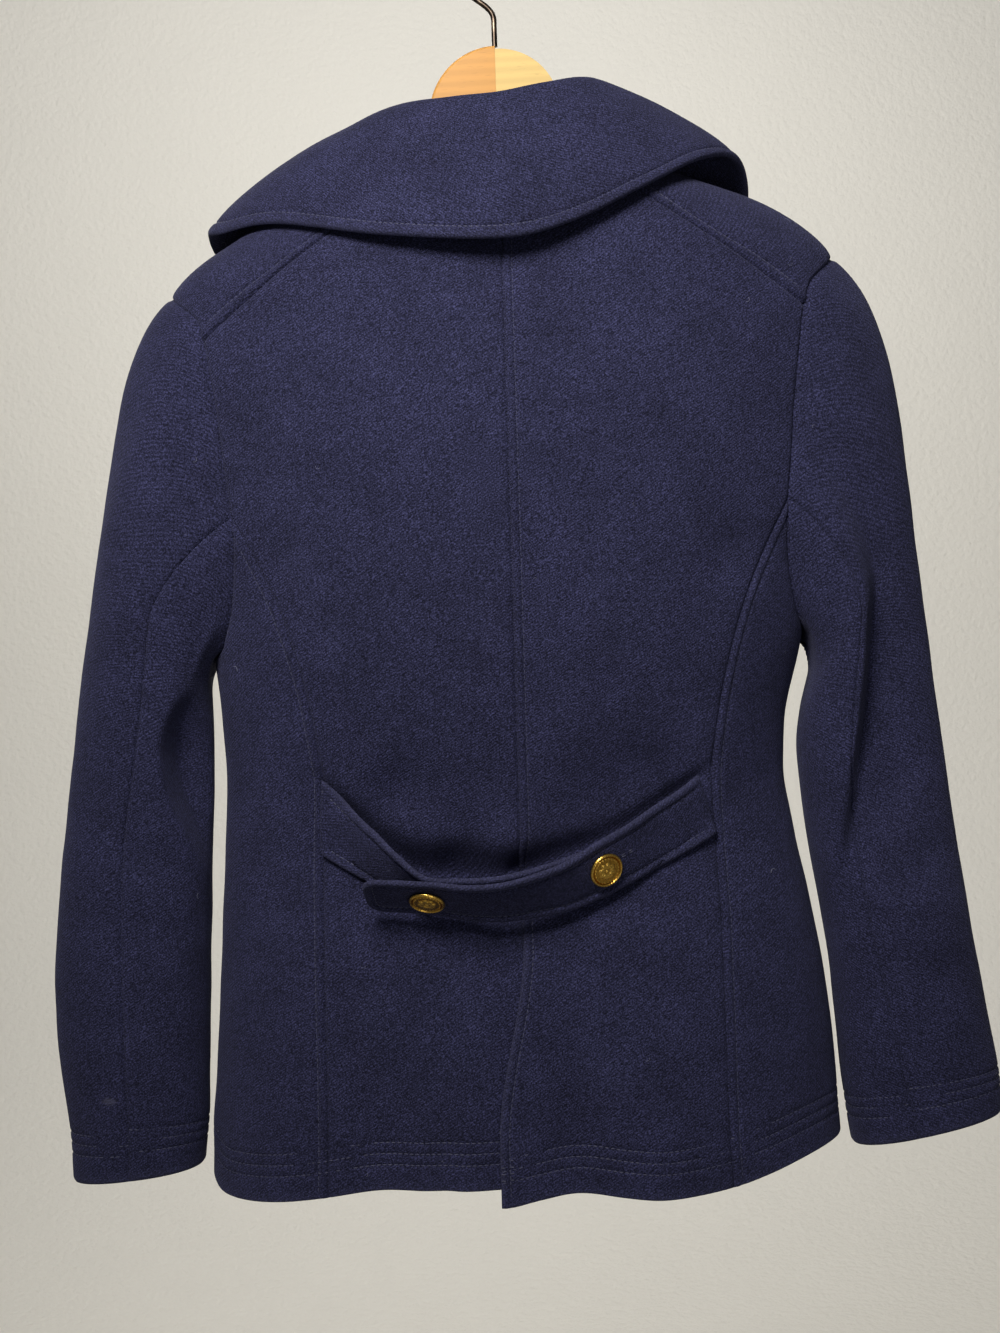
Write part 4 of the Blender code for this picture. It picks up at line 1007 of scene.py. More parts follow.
def sleeve_cloth(side, start, end):
    surface = sleeve(side)

    def face(angle, along):
        """Out of the sleeve, but out of the body at the armhole, so that the seam stays shut."""
        own = -side * normals(surface, angle, along, 0.08, 0.08)
        share = ease(along / 9)[:, None]
        return unit(normals(body, *armhole(side, angle)) * (1 - share) + own * share)

    around = stations(start, end, ARM_STEP)
    down = np.linspace(0, 100, 60)
    return Cloth(surface, [
        seam([(a, 0.0) for a in around]),
        seam([(end, d) for d in down]),
        edge([(a, 100.0) for a in around[::-1]], *CUFF_ROWS),
        seam([(start, d) for d in down[::-1]]),
    ], face=face)


def collar_cloth():
    around = np.linspace(-180, 180, 121)
    up = np.linspace(0, 140, 36)
    return Cloth(collar, [
        seam([(a, 0.0) for a in around]),
        edge([(180.0, r) for r in up], COLLAR_ROW),
        edge([(a, 140.0) for a in around[::-1]], COLLAR_ROW),
        edge([(-180.0, r) for r in up[::-1]], COLLAR_ROW),
    ], thick=COLLAR_CLOTH, sign=-1, middle=True)


BELT_CORNER = 12.0
BELT_SLANT = (3.0, 31.0)       # where the left half-belt's upper and lower corners meet the princess seam
RIGHT_SLANT = 8.0              # how much shorter the right half-belt's lower edge is
BUTTONHOLE = (9.0, 20.0)       # the part of the buttonhole that shows beside its button, from its middle


def belt_cloth(side):
    """Half-belt of two layers, topstitched round its free edges."""
    rows, round_start = (BELT_LEFT, False) if side < 0 else (BELT_RIGHT, True)
    surface, length = belt(rows)
    half, corner = BELT_WIDTH / 2, BELT_CORNER
    arc = np.radians(np.linspace(0, 90, 7))
    free = ([(corner - corner * math.sin(t), half - corner + corner * math.cos(t)) for t in arc]
            + [(corner - corner * math.cos(t), -half + corner - corner * math.sin(t)) for t in arc])
    if round_start:
        around = ([(length, half), (length / 2, half)] + free
                  + [(length / 2, -half), (length - RIGHT_SLANT, -half)])
        fixed = [(length - RIGHT_SLANT, -half), (length, half)]
    else:
        upper, lower = BELT_SLANT
        around = ([(upper, half), (length / 2, half)] + [(length - a, b) for a, b in free]
                  + [(length / 2, -half), (lower, -half)])
        fixed = [(lower, -half), (upper, half)]
    reach = np.linspace(0, length, 400)
    at_button = float(np.interp(BELT_BUTTONS[0], surface(reach, 0)[:, 0], reach))
    hole = [[(at_button + BUTTONHOLE[0], up), (at_button + BUTTONHOLE[1], up)] for up in (1.6, 3.0)]
    return Cloth(surface, [edge(around, SEAM_ROW), seam(fixed)], thick=BELT_CLOTH, middle=True,
                 worn=lambda place, facing: 0 * facing, marks=hole if round_start else ())


# What cuts the pieces of each kind: a function of the side, and its further arguments.
CUTS = {"back": (back_cloth,), "side": (side_cloth,), "front": (front_cloth,), "lapel": (lapel_cloth,),
        "top_sleeve": (sleeve_cloth, 0, 195), "under_sleeve": (sleeve_cloth, 195, 360), "belt": (belt_cloth,)}


def cut_out(name):
    """The cut piece of the node of this name."""
    if name == "collar":
        return collar_cloth()
    kind, word = name.rsplit("_", 1)
    make, *ends = CUTS[kind]
    return make(-1 if word == "left" else 1, *ends)


def linear(colour):
    """An sRGB hex colour as linear values."""
    values = [int(colour[k:k + 2], 16) / 255 for k in (1, 3, 5)]
    return tuple(v / 12.92 if v <= 0.04045 else ((v + 0.055) / 1.055) ** 2.4 for v in values)


def add(tree, kind, inputs=None, stops=(), **settings):
    """Adds a node. An input's value is a number, a colour, or the socket that feeds it. stops are the
    (place, grey) stops of a colour ramp."""
    made = tree.nodes.new(kind)
    for name, value in settings.items():
        setattr(made, name, value)
    for name, value in (inputs or {}).items():
        if isinstance(value, bpy.types.NodeSocket):
            tree.links.new(value, made.inputs[name])
        else:
            made.inputs[name].default_value = value
    for _ in stops[2:]:
        made.color_ramp.elements.new(0.5)
    for k, (place, grey) in enumerate(stops):
        element = made.color_ramp.elements[k]
        element.position, element.color = place, (grey, grey, grey, 1)
    return made


MIX = {"data_type": "RGBA", "blend_type": "MIX"}            # a colour mix: inputs 0 share, 6 and 7 colours
MULTIPLY = {"data_type": "RGBA", "blend_type": "MULTIPLY"}


def new_material(name, values):
    """A material, its tree and its shader, which takes the plain values named here."""
    material = bpy.data.materials.new(name)
    material.use_nodes = True
    tree = material.node_tree
    shader = tree.nodes["Principled BSDF"]
    for label, value in values.items():
        shader.inputs[label].default_value = value
    return material, tree, shader


def colour4(values, share=1.0):
    return (*[v * share for v in values], 1.0)


def noise_scale(size):
    """Scale of a noise texture whose blotches are this many mm across."""
    return 1 / (size * MM)


def wave_scale(size):
    """Scale of a wave texture whose bands are this many mm apart. Blender's wave repeats every 0.314."""
    return 0.314 / (size * MM)


TWILL_PITCH = 1.7       # mm. Melton's twill is about 0.9 mm; it is drawn coarser so that it shows at all
TWILL_SLANT = 58        # degrees
TUFT_SIZE = 1.0         # mm across a tuft of nap; the real one is 0.3 mm, drawn coarser for the same reason
NAP_SIZE = TUFT_SIZE / 0.42
MOTTLE_SIZE = 30.0      # mm between paler and darker patches of brushed nap
STAIN = (-272.0, -763.0)
STAIN_WIDE, STAIN_HIGH = 0.012, 0.006          # metres


def wool(colour):
    """Milled and brushed wool melton: a felted face over a faint twill, which gives a matt, slightly
    fuzzy navy that pales at grazing angles and where edges are rubbed."""
    material, tree, shader = new_material("navy_wool_melton", {
        "Roughness": 0.95, "Specular IOR Level": 0.15, "Sheen Weight": 0.20, "Sheen Roughness": 0.45,
        "Sheen Tint": colour4(linear("#8A8CB4"))})
    where = add(tree, "ShaderNodeTexCoord").outputs["Object"]
    cut = add(tree, "ShaderNodeUVMap", uv_map="cut").outputs["UV"]
    turned = add(tree, "ShaderNodeMapping", {"Vector": cut, "Rotation": (0, 0, math.radians(TWILL_SLANT))})
    twill = add(tree, "ShaderNodeTexWave", {
        "Vector": turned.outputs["Vector"], "Scale": wave_scale(TWILL_PITCH), "Distortion": 3.5,
        "Detail": 3.0, "Detail Scale": 2.0}).outputs["Fac"]
    patches = add(tree, "ShaderNodeTexNoise", {
        "Vector": where, "Scale": noise_scale(MOTTLE_SIZE), "Detail": 4.0, "Roughness": 0.6})
    tufts = add(tree, "ShaderNodeTexNoise", {
        "Vector": where, "Scale": noise_scale(TUFT_SIZE), "Detail": 2.0, "Roughness": 0.65}).outputs["Fac"]
    nap = add(tree, "ShaderNodeTexNoise", {
        "Vector": cut, "Scale": noise_scale(NAP_SIZE), "Detail": 4.0, "Roughness": 0.8}).outputs["Fac"]
    mottled = add(tree, "ShaderNodeValToRGB", {"Fac": patches.outputs["Fac"]}, ((0.32, 0.0), (0.68, 1.0)))
    tone = add(tree, "ShaderNodeMix", {0: mottled.outputs["Color"], 6: colour4(colour, 0.84),
                                       7: colour4(colour, 1.16)}, **MIX)
    speckle = add(tree, "ShaderNodeValToRGB", {"Fac": tufts}, ((0.34, 0.30), (0.50, 0.90), (0.66, 2.3)))
    tone = add(tree, "ShaderNodeMix", {0: 1.0, 6: tone.outputs[2], 7: speckle.outputs["Color"]}, **MULTIPLY)
    lines = add(tree, "ShaderNodeValToRGB", {"Fac": twill}, ((0.0, 0.74), (1.0, 1.18)))
    tone = add(tree, "ShaderNodeMix", {0: 1.0, 6: tone.outputs[2], 7: lines.outputs["Color"]}, **MULTIPLY)
    flecks = add(tree, "ShaderNodeValToRGB", {"Fac": nap}, ((0.60, 0.0), (0.74, 0.40)))
    tone = add(tree, "ShaderNodeMix", {0: flecks.outputs["Color"], 6: tone.outputs[2],
                                       7: colour4(linear("#5A5D7E"))}, **MIX)
    rubbed = add(tree, "ShaderNodeAttribute", attribute_name="rubbed")
    worn = add(tree, "ShaderNodeMath", {0: rubbed.outputs["Fac"], 1: 0.30}, operation="MULTIPLY")
    tone = add(tree, "ShaderNodeMix", {0: worn.outputs["Value"], 6: tone.outputs[2],
                                       7: colour4(linear("#4A4B66"))}, **MIX)
    spot = add(tree, "ShaderNodeMapping", {
        "Vector": where, "Scale": (1 / STAIN_WIDE, 0, 1 / STAIN_HIGH),
        "Location": (-STAIN[0] * MM / STAIN_WIDE, 0, -STAIN[1] * MM / STAIN_HIGH)})
    away = add(tree, "ShaderNodeVectorMath", {0: spot.outputs["Vector"]}, operation="LENGTH")
    ragged = add(tree, "ShaderNodeMath", {0: away.outputs["Value"], 1: nap}, operation="ADD")
    stain = add(tree, "ShaderNodeValToRGB", {"Fac": ragged.outputs["Value"]}, ((0.75, 0.30), (1.0, 0.0)))
    tone = add(tree, "ShaderNodeMix", {0: stain.outputs["Color"], 6: tone.outputs[2],
                                       7: colour4(linear("#66657A"))}, **MIX)
    tree.links.new(tone.outputs[2], shader.inputs["Base Color"])
    relief = add(tree, "ShaderNodeMath", {0: tufts, 1: nap}, operation="ADD")
    bumpy = add(tree, "ShaderNodeBump", {"Height": relief.outputs["Value"], "Strength": 0.8,
                                         "Distance": 0.9 * MM})
    woven = add(tree, "ShaderNodeBump", {"Height": twill, "Strength": 0.5, "Distance": 0.3 * MM,
                                         "Normal": bumpy.outputs["Normal"]})
    tree.links.new(woven.outputs["Normal"], shader.inputs["Normal"])
    return material


TWIST_PITCH = 0.6       # mm from one twist of the thread to the next


def thread(name, colour):
    """Spun polyester sewing thread: twisted, so each stitch has fine slanting bands and a soft gleam."""
    material, tree, shader = new_material(name, {"Roughness": 0.6, "Sheen Weight": 0.2})
    where = add(tree, "ShaderNodeTexCoord")
    twist = add(tree, "ShaderNodeTexWave", {
        "Vector": where.outputs["Object"], "Scale": wave_scale(TWIST_PITCH), "Distortion": 1.0},
        bands_direction="DIAGONAL")
    tone = add(tree, "ShaderNodeMix", {0: twist.outputs["Fac"], 6: colour4(colour, 0.75),
                                       7: colour4(colour, 1.2)}, **MIX)
    tree.links.new(tone.outputs[2], shader.inputs["Base Color"])
    return material


def fluff(colour):
    """Loose lint and hairs caught in the nap: pale, dull fibres of uneven tone."""
    material, tree, shader = new_material("lint_fibre", {"Roughness": 0.9})
    where = add(tree, "ShaderNodeTexCoord")
    vary = add(tree, "ShaderNodeTexNoise", {"Vector": where.outputs["Object"], "Scale": noise_scale(20)})
    tone = add(tree, "ShaderNodeMix", {0: vary.outputs["Fac"], 6: colour4(colour, 0.5),
                                       7: colour4(colour, 1.3)}, **MIX)
    tree.links.new(tone.outputs[2], shader.inputs["Base Color"])
    return material


SCRATCH_SIZE = 1.2      # mm across the patches of handling scratches


def gilt(colour):
    """Stamped brass with a bright gilt wash: a warm mirror, softened by fine handling scratches, darker
    in the hollows of its relief."""
    material, tree, shader = new_material("gilt_stamped_brass", {"Metallic": 1.0})
    where = add(tree, "ShaderNodeTexCoord")
    marks = add(tree, "ShaderNodeTexNoise", {
        "Vector": where.outputs["Object"], "Scale": noise_scale(SCRATCH_SIZE), "Detail": 5.0,
        "Roughness": 0.7}).outputs["Fac"]
    hollow = add(tree, "ShaderNodeAttribute", attribute_name="hollow")
    dull = add(tree, "ShaderNodeMix", {0: hollow.outputs["Fac"], 6: colour4(colour),
                                       7: colour4(linear("#A8701E"))}, **MIX)
    rub = add(tree, "ShaderNodeValToRGB", {"Fac": marks}, ((0.35, 0.0), (0.75, 0.5)))
    tone = add(tree, "ShaderNodeMix", {0: rub.outputs["Color"], 6: dull.outputs[2],
                                       7: colour4(linear("#D89A3A"))}, **MIX)
    tree.links.new(tone.outputs[2], shader.inputs["Base Color"])
    rough = add(tree, "ShaderNodeMapRange", {"Value": marks, "To Min": 0.16, "To Max": 0.40})
    tree.links.new(rough.outputs["Result"], shader.inputs["Roughness"])
    scratched = add(tree, "ShaderNodeBump", {"Height": marks, "Strength": 0.15, "Distance": 0.05 * MM})
    tree.links.new(scratched.outputs["Normal"], shader.inputs["Normal"])
    return material


GRAIN_WIDTH = 7.0        # mm between darker bands of a plain-sawn softwood board
PORE_SIZE = 0.8          # mm


def board(name, colour):
    """Sawn, sanded and varnished softwood: long grain bands and fine pores under a thin, almost matt
    varnish."""
    material, tree, shader = new_material(name, {"Roughness": 0.62, "Coat Weight": 0.04,
                                                 "Coat Roughness": 0.25})
    where = add(tree, "ShaderNodeTexCoord")
    laid = add(tree, "ShaderNodeMapping", {"Vector": where.outputs["Object"], "Scale": (0.12, 1.0, 1.0),
                                           "Rotation": (0, math.radians(8), 0)})
    rings = add(tree, "ShaderNodeTexWave", {
        "Vector": laid.outputs["Vector"], "Scale": wave_scale(GRAIN_WIDTH), "Distortion": 3.0, "Detail": 3.0,
        "Detail Scale": 0.6}, bands_direction="Z")
    pores = add(tree, "ShaderNodeTexNoise", {
        "Vector": laid.outputs["Vector"], "Scale": noise_scale(PORE_SIZE), "Detail": 3.0}).outputs["Fac"]
    bands = add(tree, "ShaderNodeValToRGB", {"Fac": rings.outputs["Fac"]}, ((0.1, 0.0), (0.9, 1.0)))
    tone = add(tree, "ShaderNodeMix", {0: bands.outputs["Color"], 6: colour4(colour, 0.93),
                                       7: colour4(colour, 1.03)}, **MIX)
    dots = add(tree, "ShaderNodeValToRGB", {"Fac": pores}, ((0.60, 0.0), (0.75, 0.4)))
    tone = add(tree, "ShaderNodeMix", {0: dots.outputs["Color"], 6: tone.outputs[2],
                                       7: colour4(colour, 0.6)}, **MIX)
    tree.links.new(tone.outputs[2], shader.inputs["Base Color"])
    grain = add(tree, "ShaderNodeBump", {"Height": pores, "Strength": 0.15, "Distance": 0.1 * MM})
    tree.links.new(grain.outputs["Normal"], shader.inputs["Normal"])
    return material


def wire(colour):
    """Drawn steel wire with a dark bronzed finish, rubbed brighter in patches."""
    material, tree, shader = new_material("bronzed_steel_wire", {"Metallic": 1.0})
    where = add(tree, "ShaderNodeTexCoord")
    rub = add(tree, "ShaderNodeTexNoise", {"Vector": where.outputs["Object"], "Scale": noise_scale(7),
                                           "Detail": 4.0}).outputs["Fac"]
    bright = add(tree, "ShaderNodeValToRGB", {"Fac": rub}, ((0.5, 0.0), (0.75, 0.7)))
    tone = add(tree, "ShaderNodeMix", {0: bright.outputs["Color"], 6: colour4(colour),
                                       7: colour4(linear("#9A8A78"))}, **MIX)
    tree.links.new(tone.outputs[2], shader.inputs["Base Color"])
    rough = add(tree, "ShaderNodeMapRange", {"Value": rub, "To Min": 0.22, "To Max": 0.45})
    tree.links.new(rough.outputs["Result"], shader.inputs["Roughness"])
    return material


def group(name, floats=(), materials=(), ints=()):
    """A new Geometry Nodes tree with its named inputs."""
    tree = bpy.data.node_groups.new(name, "GeometryNodeTree")
    sockets = [("Geometry", "Geometry"), *[(f, "Float") for f in floats], *[(i, "Int") for i in ints],
               *[(m, "Material") for m in materials]]
    for label, kind in sockets:
        tree.interface.new_socket(label, in_out="INPUT", socket_type="NodeSocket" + kind)
    tree.interface.new_socket("Geometry", in_out="OUTPUT", socket_type="NodeSocketGeometry")
    return tree, add(tree, "NodeGroupInput").outputs, add(tree, "NodeGroupOutput")


def stitching_tree():
    """Puts one plump stitch on each point along every run."""
    tree, given, result = group("stitching", ("Pitch", "Stitch Length", "Thread Width"), ("Thread",))
    curve = add(tree, "GeometryNodeMeshToCurve", {"Mesh": given["Geometry"]})
    points = add(tree, "GeometryNodeCurveToPoints", {
        "Curve": curve.outputs["Curve"], "Length": given["Pitch"]}, mode="LENGTH")
    bead = add(tree, "GeometryNodeMeshUVSphere", {"Segments": 6, "Rings": 4, "Radius": 0.5})
    shape = add(tree, "ShaderNodeCombineXYZ", {"X": given["Thread Width"], "Y": given["Thread Width"],
                                               "Z": given["Stitch Length"]})
    placed = add(tree, "GeometryNodeInstanceOnPoints", {"Points": points.outputs["Points"],
                                                        "Instance": bead.outputs["Mesh"],
                                                        "Rotation": points.outputs["Rotation"],
                                                        "Scale": shape.outputs["Vector"]})
    real = add(tree, "GeometryNodeRealizeInstances", {"Geometry": placed.outputs["Instances"]})
    painted = add(tree, "GeometryNodeSetMaterial", {
        "Geometry": real.outputs["Geometry"], "Material": given["Thread"]})
    tree.links.new(painted.outputs["Geometry"], result.inputs["Geometry"])
    return tree


def lint_tree():
    """Scatters short curled fibres over a piece of cloth."""
    tree, given, result = group("lint", ("Density", "Length", "Width"), ("Fibre",), ("Seed",))
    points = add(tree, "GeometryNodeDistributePointsOnFaces", {
        "Mesh": given["Geometry"], "Density": given["Density"], "Seed": given["Seed"]})
    arc = add(tree, "GeometryNodeCurveArc", {
        "Resolution": 6, "Radius": 0.5, "Sweep Angle": math.radians(150)})
    ring = add(tree, "GeometryNodeCurvePrimitiveCircle", {"Resolution": 3, "Radius": given["Width"]})
    hair = add(tree, "GeometryNodeCurveToMesh", {"Curve": arc.outputs["Curve"],
                                                 "Profile Curve": ring.outputs["Curve"], "Fill Caps": True})
    spin = add(tree, "FunctionNodeRandomValue", {
        "Max": 2 * math.pi, "Seed": given["Seed"]}, data_type="FLOAT")
    about = add(tree, "ShaderNodeCombineXYZ", {"Z": spin.outputs[1]})
    turned = add(tree, "FunctionNodeRotateRotation", {
        "Rotation": points.outputs["Rotation"]}, rotation_space="LOCAL")
    as_turn = add(tree, "FunctionNodeEulerToRotation", {"Euler": about.outputs["Vector"]})
    tree.links.new(as_turn.outputs["Rotation"], turned.inputs["Rotate By"])
    grown = add(tree, "FunctionNodeRandomValue", data_type="FLOAT")
    low = add(tree, "ShaderNodeMath", {0: given["Length"], 1: 0.35}, operation="MULTIPLY")
    tree.links.new(low.outputs["Value"], grown.inputs[2])
    tree.links.new(given["Length"], grown.inputs[3])
    tree.links.new(given["Seed"], grown.inputs["Seed"])
    placed = add(tree, "GeometryNodeInstanceOnPoints", {"Points": points.outputs["Points"],
                                                        "Instance": hair.outputs["Mesh"],
                                                        "Rotation": turned.outputs["Rotation"],
                                                        "Scale": grown.outputs[1]})
    real = add(tree, "GeometryNodeRealizeInstances", {"Geometry": placed.outputs["Instances"]})
    painted = add(tree, "GeometryNodeSetMaterial", {
        "Geometry": real.outputs["Geometry"], "Material": given["Fibre"]})
    tree.links.new(painted.outputs["Geometry"], result.inputs["Geometry"])
    return tree


def from_tree(name, mesh, tree, values, material):
    """Runs a Geometry Nodes tree on a mesh and keeps the result as one plain piece."""
    base = in_scene(name, mesh)
    modifier = base.modifiers.new(tree.name, "NODES")
    modifier.node_group = tree
    named = {item.name: item.identifier for item in tree.interface.items_tree if item.in_out == "INPUT"}
    for label, value in values.items():
        modifier[named[label]] = value
    return finished(name, whole_mesh(base, name), material)


def runs_mesh(name, runs):
    """Chains of points as a mesh of edges."""
    mesh = bpy.data.meshes.new(name)
    starts = np.cumsum([0] + [len(run) for run in runs])
    mesh.from_pydata((np.concatenate(runs) * MM).tolist(),
                     [(s + k, s + k + 1) for s, run in zip(starts, runs) for k in range(len(run) - 1)], [])
    return mesh


def whole_piece(piece, slot, *nodes):
    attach(piece, "root")
    if nodes:
        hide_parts(*nodes)
    return piece


SEAT_GAP = 0.3           # between a button and its cloth
RELIEF_SECTORS = 120
# A button's edge, flat back and shank, as (radius, height) from its face down to its foot.
BUTTON_BACK = ((BUTTON_RADIUS, 2.2), (BUTTON_RADIUS, 1.5), (BUTTON_RADIUS - 0.9, 0.9), (2.4, 0.7), (2.2, 0.0))
BUTTON_MIDDLE, BUTTON_FALL = 3.2, 0.9         # height of the dome's middle, and its fall to the rim


def belt_seat(x):
    """(place, face) of a belt button on the upper half-belt."""
    surface, length = belt(BELT_RIGHT)
    samples = np.linspace(0, length, 400)
    along = samples[np.argmin(np.abs(surface(samples, 0)[:, 0] - x))]
    face = normals(surface, np.array([along]), np.array([0.0]))[0]
    face = face if face[1] < 0 else -face
    return surface(along, 0.0) + face * (BELT_CLOTH / 2 + SEAT_GAP), face


def front_seat(x, z):
    turn = np.array([float(on_front([(x, z), (x, z + 1)], 1)[0][0])])
    face = normals(body, turn, np.array([z]))[0]
    face = face if face[1] > 0 else -face
    return body(turn, z)[0] + face * (over_out(turn, z)[0] + SEAT_GAP), face


def button_height(share, angle):
    """Height of the button's face at a share of its radius: a dome, a roped rim, a ring of beads and a
    flower of eight petals."""
    dome = BUTTON_MIDDLE - BUTTON_FALL * share**2
    rim = 0.75 * bell(share - 0.93, 0.055) * (1 + 0.22 * np.sin(36 * angle + 30 * share))
    step = -0.45 * bell(share - 0.83, 0.035)
    beads = 0.42 * bell(share - 0.74, 0.045) * (0.5 + 0.5 * np.cos(24 * angle))
    reach = 0.56 * (0.72 + 0.28 * np.abs(np.cos(4 * angle)) ** 0.7)
    petals = 0.75 * ease((reach - share) / 0.10) * ease((share - 0.13) / 0.08)
    vein_ends = ease((0.5 - share) / 0.2) * ease((share - 0.15) / 0.1)
    veins = -0.30 * bell(np.sin(4 * angle), 0.16) * vein_ends
    heart = 0.7 * np.sqrt(np.clip(1 - (share / 0.13) ** 2, 0, 1))
    return dome + rim + step + beads + petals + veins + heart


def button(name, seat_at, slot):
    """A turned disc with a stamped face, a rolled edge, a flat back and a shank."""
    place, face = seat_at
    across = np.concatenate([np.linspace(0.02, 0.6, 20), np.linspace(0.62, 0.985, 20)])
    angle = np.radians(np.arange(RELIEF_SECTORS) * 360 / RELIEF_SECTORS)
    rings = [(s * BUTTON_RADIUS * 0.985, button_height(s, angle)) for s in across]
    level = np.zeros_like(angle)
    rings += [(radius, level + height) for radius, height in BUTTON_BACK]
    points = np.concatenate([np.stack([r * np.cos(angle), r * np.sin(angle), h], -1) for r, h in rings])
    count, total = RELIEF_SECTORS, len(points)
    points = np.concatenate([points, [[0, 0, float(button_height(np.array(0.0), np.array(0.0)))], [0, 0, 0]]])
    quads = [(at + k, at + count + k, at + count + (k + 1) % count, at + (k + 1) % count)
             for at in range(0, total - count, count) for k in range(count)]
    caps = [(k, (k + 1) % count, total) for k in range(count)]
    caps += [(total - count + (k + 1) % count, total - count + k, total + 1) for k in range(count)]
    turn = Vector(face).to_track_quat("Z", "Y").to_matrix().to_4x4()
    turn.translation = Vector(place) * MM
    mesh = bpy.data.meshes.new(name)
    mesh.from_pydata((points * MM).tolist(), [], quads + caps)
    share = np.linalg.norm(points[:, :2], axis=1) / BUTTON_RADIUS
    plain = BUTTON_MIDDLE - BUTTON_FALL * share**2
    hollow = np.clip(0.5 - (points[:, 2] - plain) / 0.7, 0, 1) * (share < 0.9)
    mesh.attributes.new("hollow", "FLOAT", "POINT").data.foreach_set("value", hollow.astype(np.float32))
    mesh.transform(turn)
    face_out(mesh)
    mesh.shade_smooth()
    piece = finished(name, mesh, gilt_of())
    return whole_piece(piece, slot, name.replace("gilt_", ""))


def settings():
    return bpy.context.scene.coat_looks


def kept(name, make):
    """The material of this name, made once."""
    return bpy.data.materials.get(name) or make()


def wool_of():
    return kept("navy_wool_melton", lambda: wool(settings().cloth[:]))


def gilt_of():
    return kept("gilt_stamped_brass", lambda: gilt(settings().gilt[:]))


def colour_setting(name, description, colour):
    return bpy.props.FloatVectorProperty(name=name, description=description, subtype="COLOR", size=3, min=0,
                                         max=1, default=linear(colour))


def length_setting(name, description, default, lowest, highest):
    return bpy.props.FloatProperty(name=name, description=description, unit="LENGTH", default=default,
                                   min=lowest, max=highest)


class CoatLooks(bpy.types.PropertyGroup):
    """Colours of the coat and its hanger."""
    cloth: colour_setting("Cloth", "Colour of the wool", "#2A2B45")
    thread: colour_setting("Thread", "Colour of the topstitching", "#3A3C58")
    lint: colour_setting("Lint", "Colour of stray fibres", "#7A7C92")
    gilt: colour_setting("Gilt", "Colour of the buttons", "#FFD368")
    wood_left: colour_setting("Left wood", "Colour of the hanger's left half", "#CC9346")
    wood_right: colour_setting("Right wood", "Colour of the hanger's right half", "#DABA73")
    steel: colour_setting("Hook", "Colour of the hook's wire", "#4A4038")
    wall: colour_setting("Studio", "Colour of the floor and backdrop", "#D9D6CF")


class CoatSizes(bpy.types.PropertyGroup):
    """Sizes of the fine work on the coat."""
    pitch: length_setting("Stitch pitch", "From one stitch to the next", 0.0037, 0.001, 0.01)
    stitch: length_setting("Stitch length", "Length of one stitch", 0.0029, 0.001, 0.01)
    strand: length_setting("Thread width", "Width of the sewing thread", 0.0008, 0.0001, 0.002)
    spacing: length_setting("Mesh spacing", "Spacing of the cloth's mesh", 0.003, 0.0015, 0.01)
    lint_density: bpy.props.FloatProperty(name="Lint density", description="Stray fibres per square metre",
                                          default=90.0, min=0, max=2000)
    lint_length: length_setting("Lint length", "Longest stray fibre", 0.0045, 0.001, 0.02)


class CoatPiece:
    """What the operators share. Those that sew name their pieces, and a seed for the stray fibres."""
    bl_options = {"REGISTER", "UNDO"}
    pieces = ()
    seed = 0

    def execute(self, context):
        sizes, looks = bpy.context.scene.coat_sizes, settings()
        stitch_tree = bpy.data.node_groups.get("stitching") or stitching_tree()
        fibre_tree = bpy.data.node_groups.get("lint") or lint_tree()
        sewn = kept("navy_thread", lambda: thread("navy_thread", looks.thread[:]))
        fibre = kept("lint_fibre", lambda: fluff(looks.lint[:]))
        for k, name in enumerate(self.pieces):
            cut = cut_out(name)
            piece = cut.build(name + "_cloth", wool_of(), sizes.spacing / MM)
            runs, extra = cut.stitch_lines(), []
            if runs:
                extra.append(from_tree(name + "_stitching", runs_mesh(name, runs), stitch_tree, {
                    "Pitch": sizes.pitch, "Stitch Length": sizes.stitch, "Thread Width": sizes.strand,
                    "Thread": sewn}, sewn))
            shed = from_tree(name + "_lint", piece.data, fibre_tree, {
                "Density": sizes.lint_density / 2, "Length": sizes.lint_length, "Width": 0.045,
                "Seed": self.seed + k, "Fibre": fibre}, fibre)
            if shed.data.polygons:
                extra.append(shed)
            else:
                bpy.data.objects.remove(shed)      # a small piece may have caught no fibre
            whole_piece(piece, "navy_wool", name)
            for added in extra:
                whole_piece(added, "navy_wool")
        return {"FINISHED"}


class COAT_OT_back(CoatPiece, bpy.types.Operator):
    """Build the two centre-back panels with their lapped vent"""
    bl_idname = "coat.back"
    bl_label = "Back panels"
    pieces = ("back_left", "back_right")
    seed = 10


class COAT_OT_sides(CoatPiece, bpy.types.Operator):
    """Build the two side panels"""
    bl_idname = "coat.sides"
    bl_label = "Side panels"
    pieces = ("side_left", "side_right")
    seed = 20


class COAT_OT_fronts(CoatPiece, bpy.types.Operator):
    """Build the two overlapping fronts and their lapels"""
    bl_idname = "coat.fronts"
    bl_label = "Fronts and lapels"
    pieces = ("front_left", "front_right", "lapel_left", "lapel_right")
    seed = 30


class COAT_OT_sleeves(CoatPiece, bpy.types.Operator):
    """Build both two-piece sleeves"""
    bl_idname = "coat.sleeves"
    bl_label = "Sleeves"
    pieces = ("top_sleeve_left", "under_sleeve_left", "top_sleeve_right", "under_sleeve_right")
    seed = 40


class COAT_OT_collar(CoatPiece, bpy.types.Operator):
    """Build the broad turned-down collar"""
    bl_idname = "coat.collar"
    bl_label = "Collar"
    pieces = ("collar",)
    seed = 50


class COAT_OT_belt(CoatPiece, bpy.types.Operator):
    """Build the half-belt's two overlapping tabs"""
    bl_idname = "coat.belt"
    bl_label = "Half-belt"
    pieces = ("belt_left", "belt_right")
    seed = 60


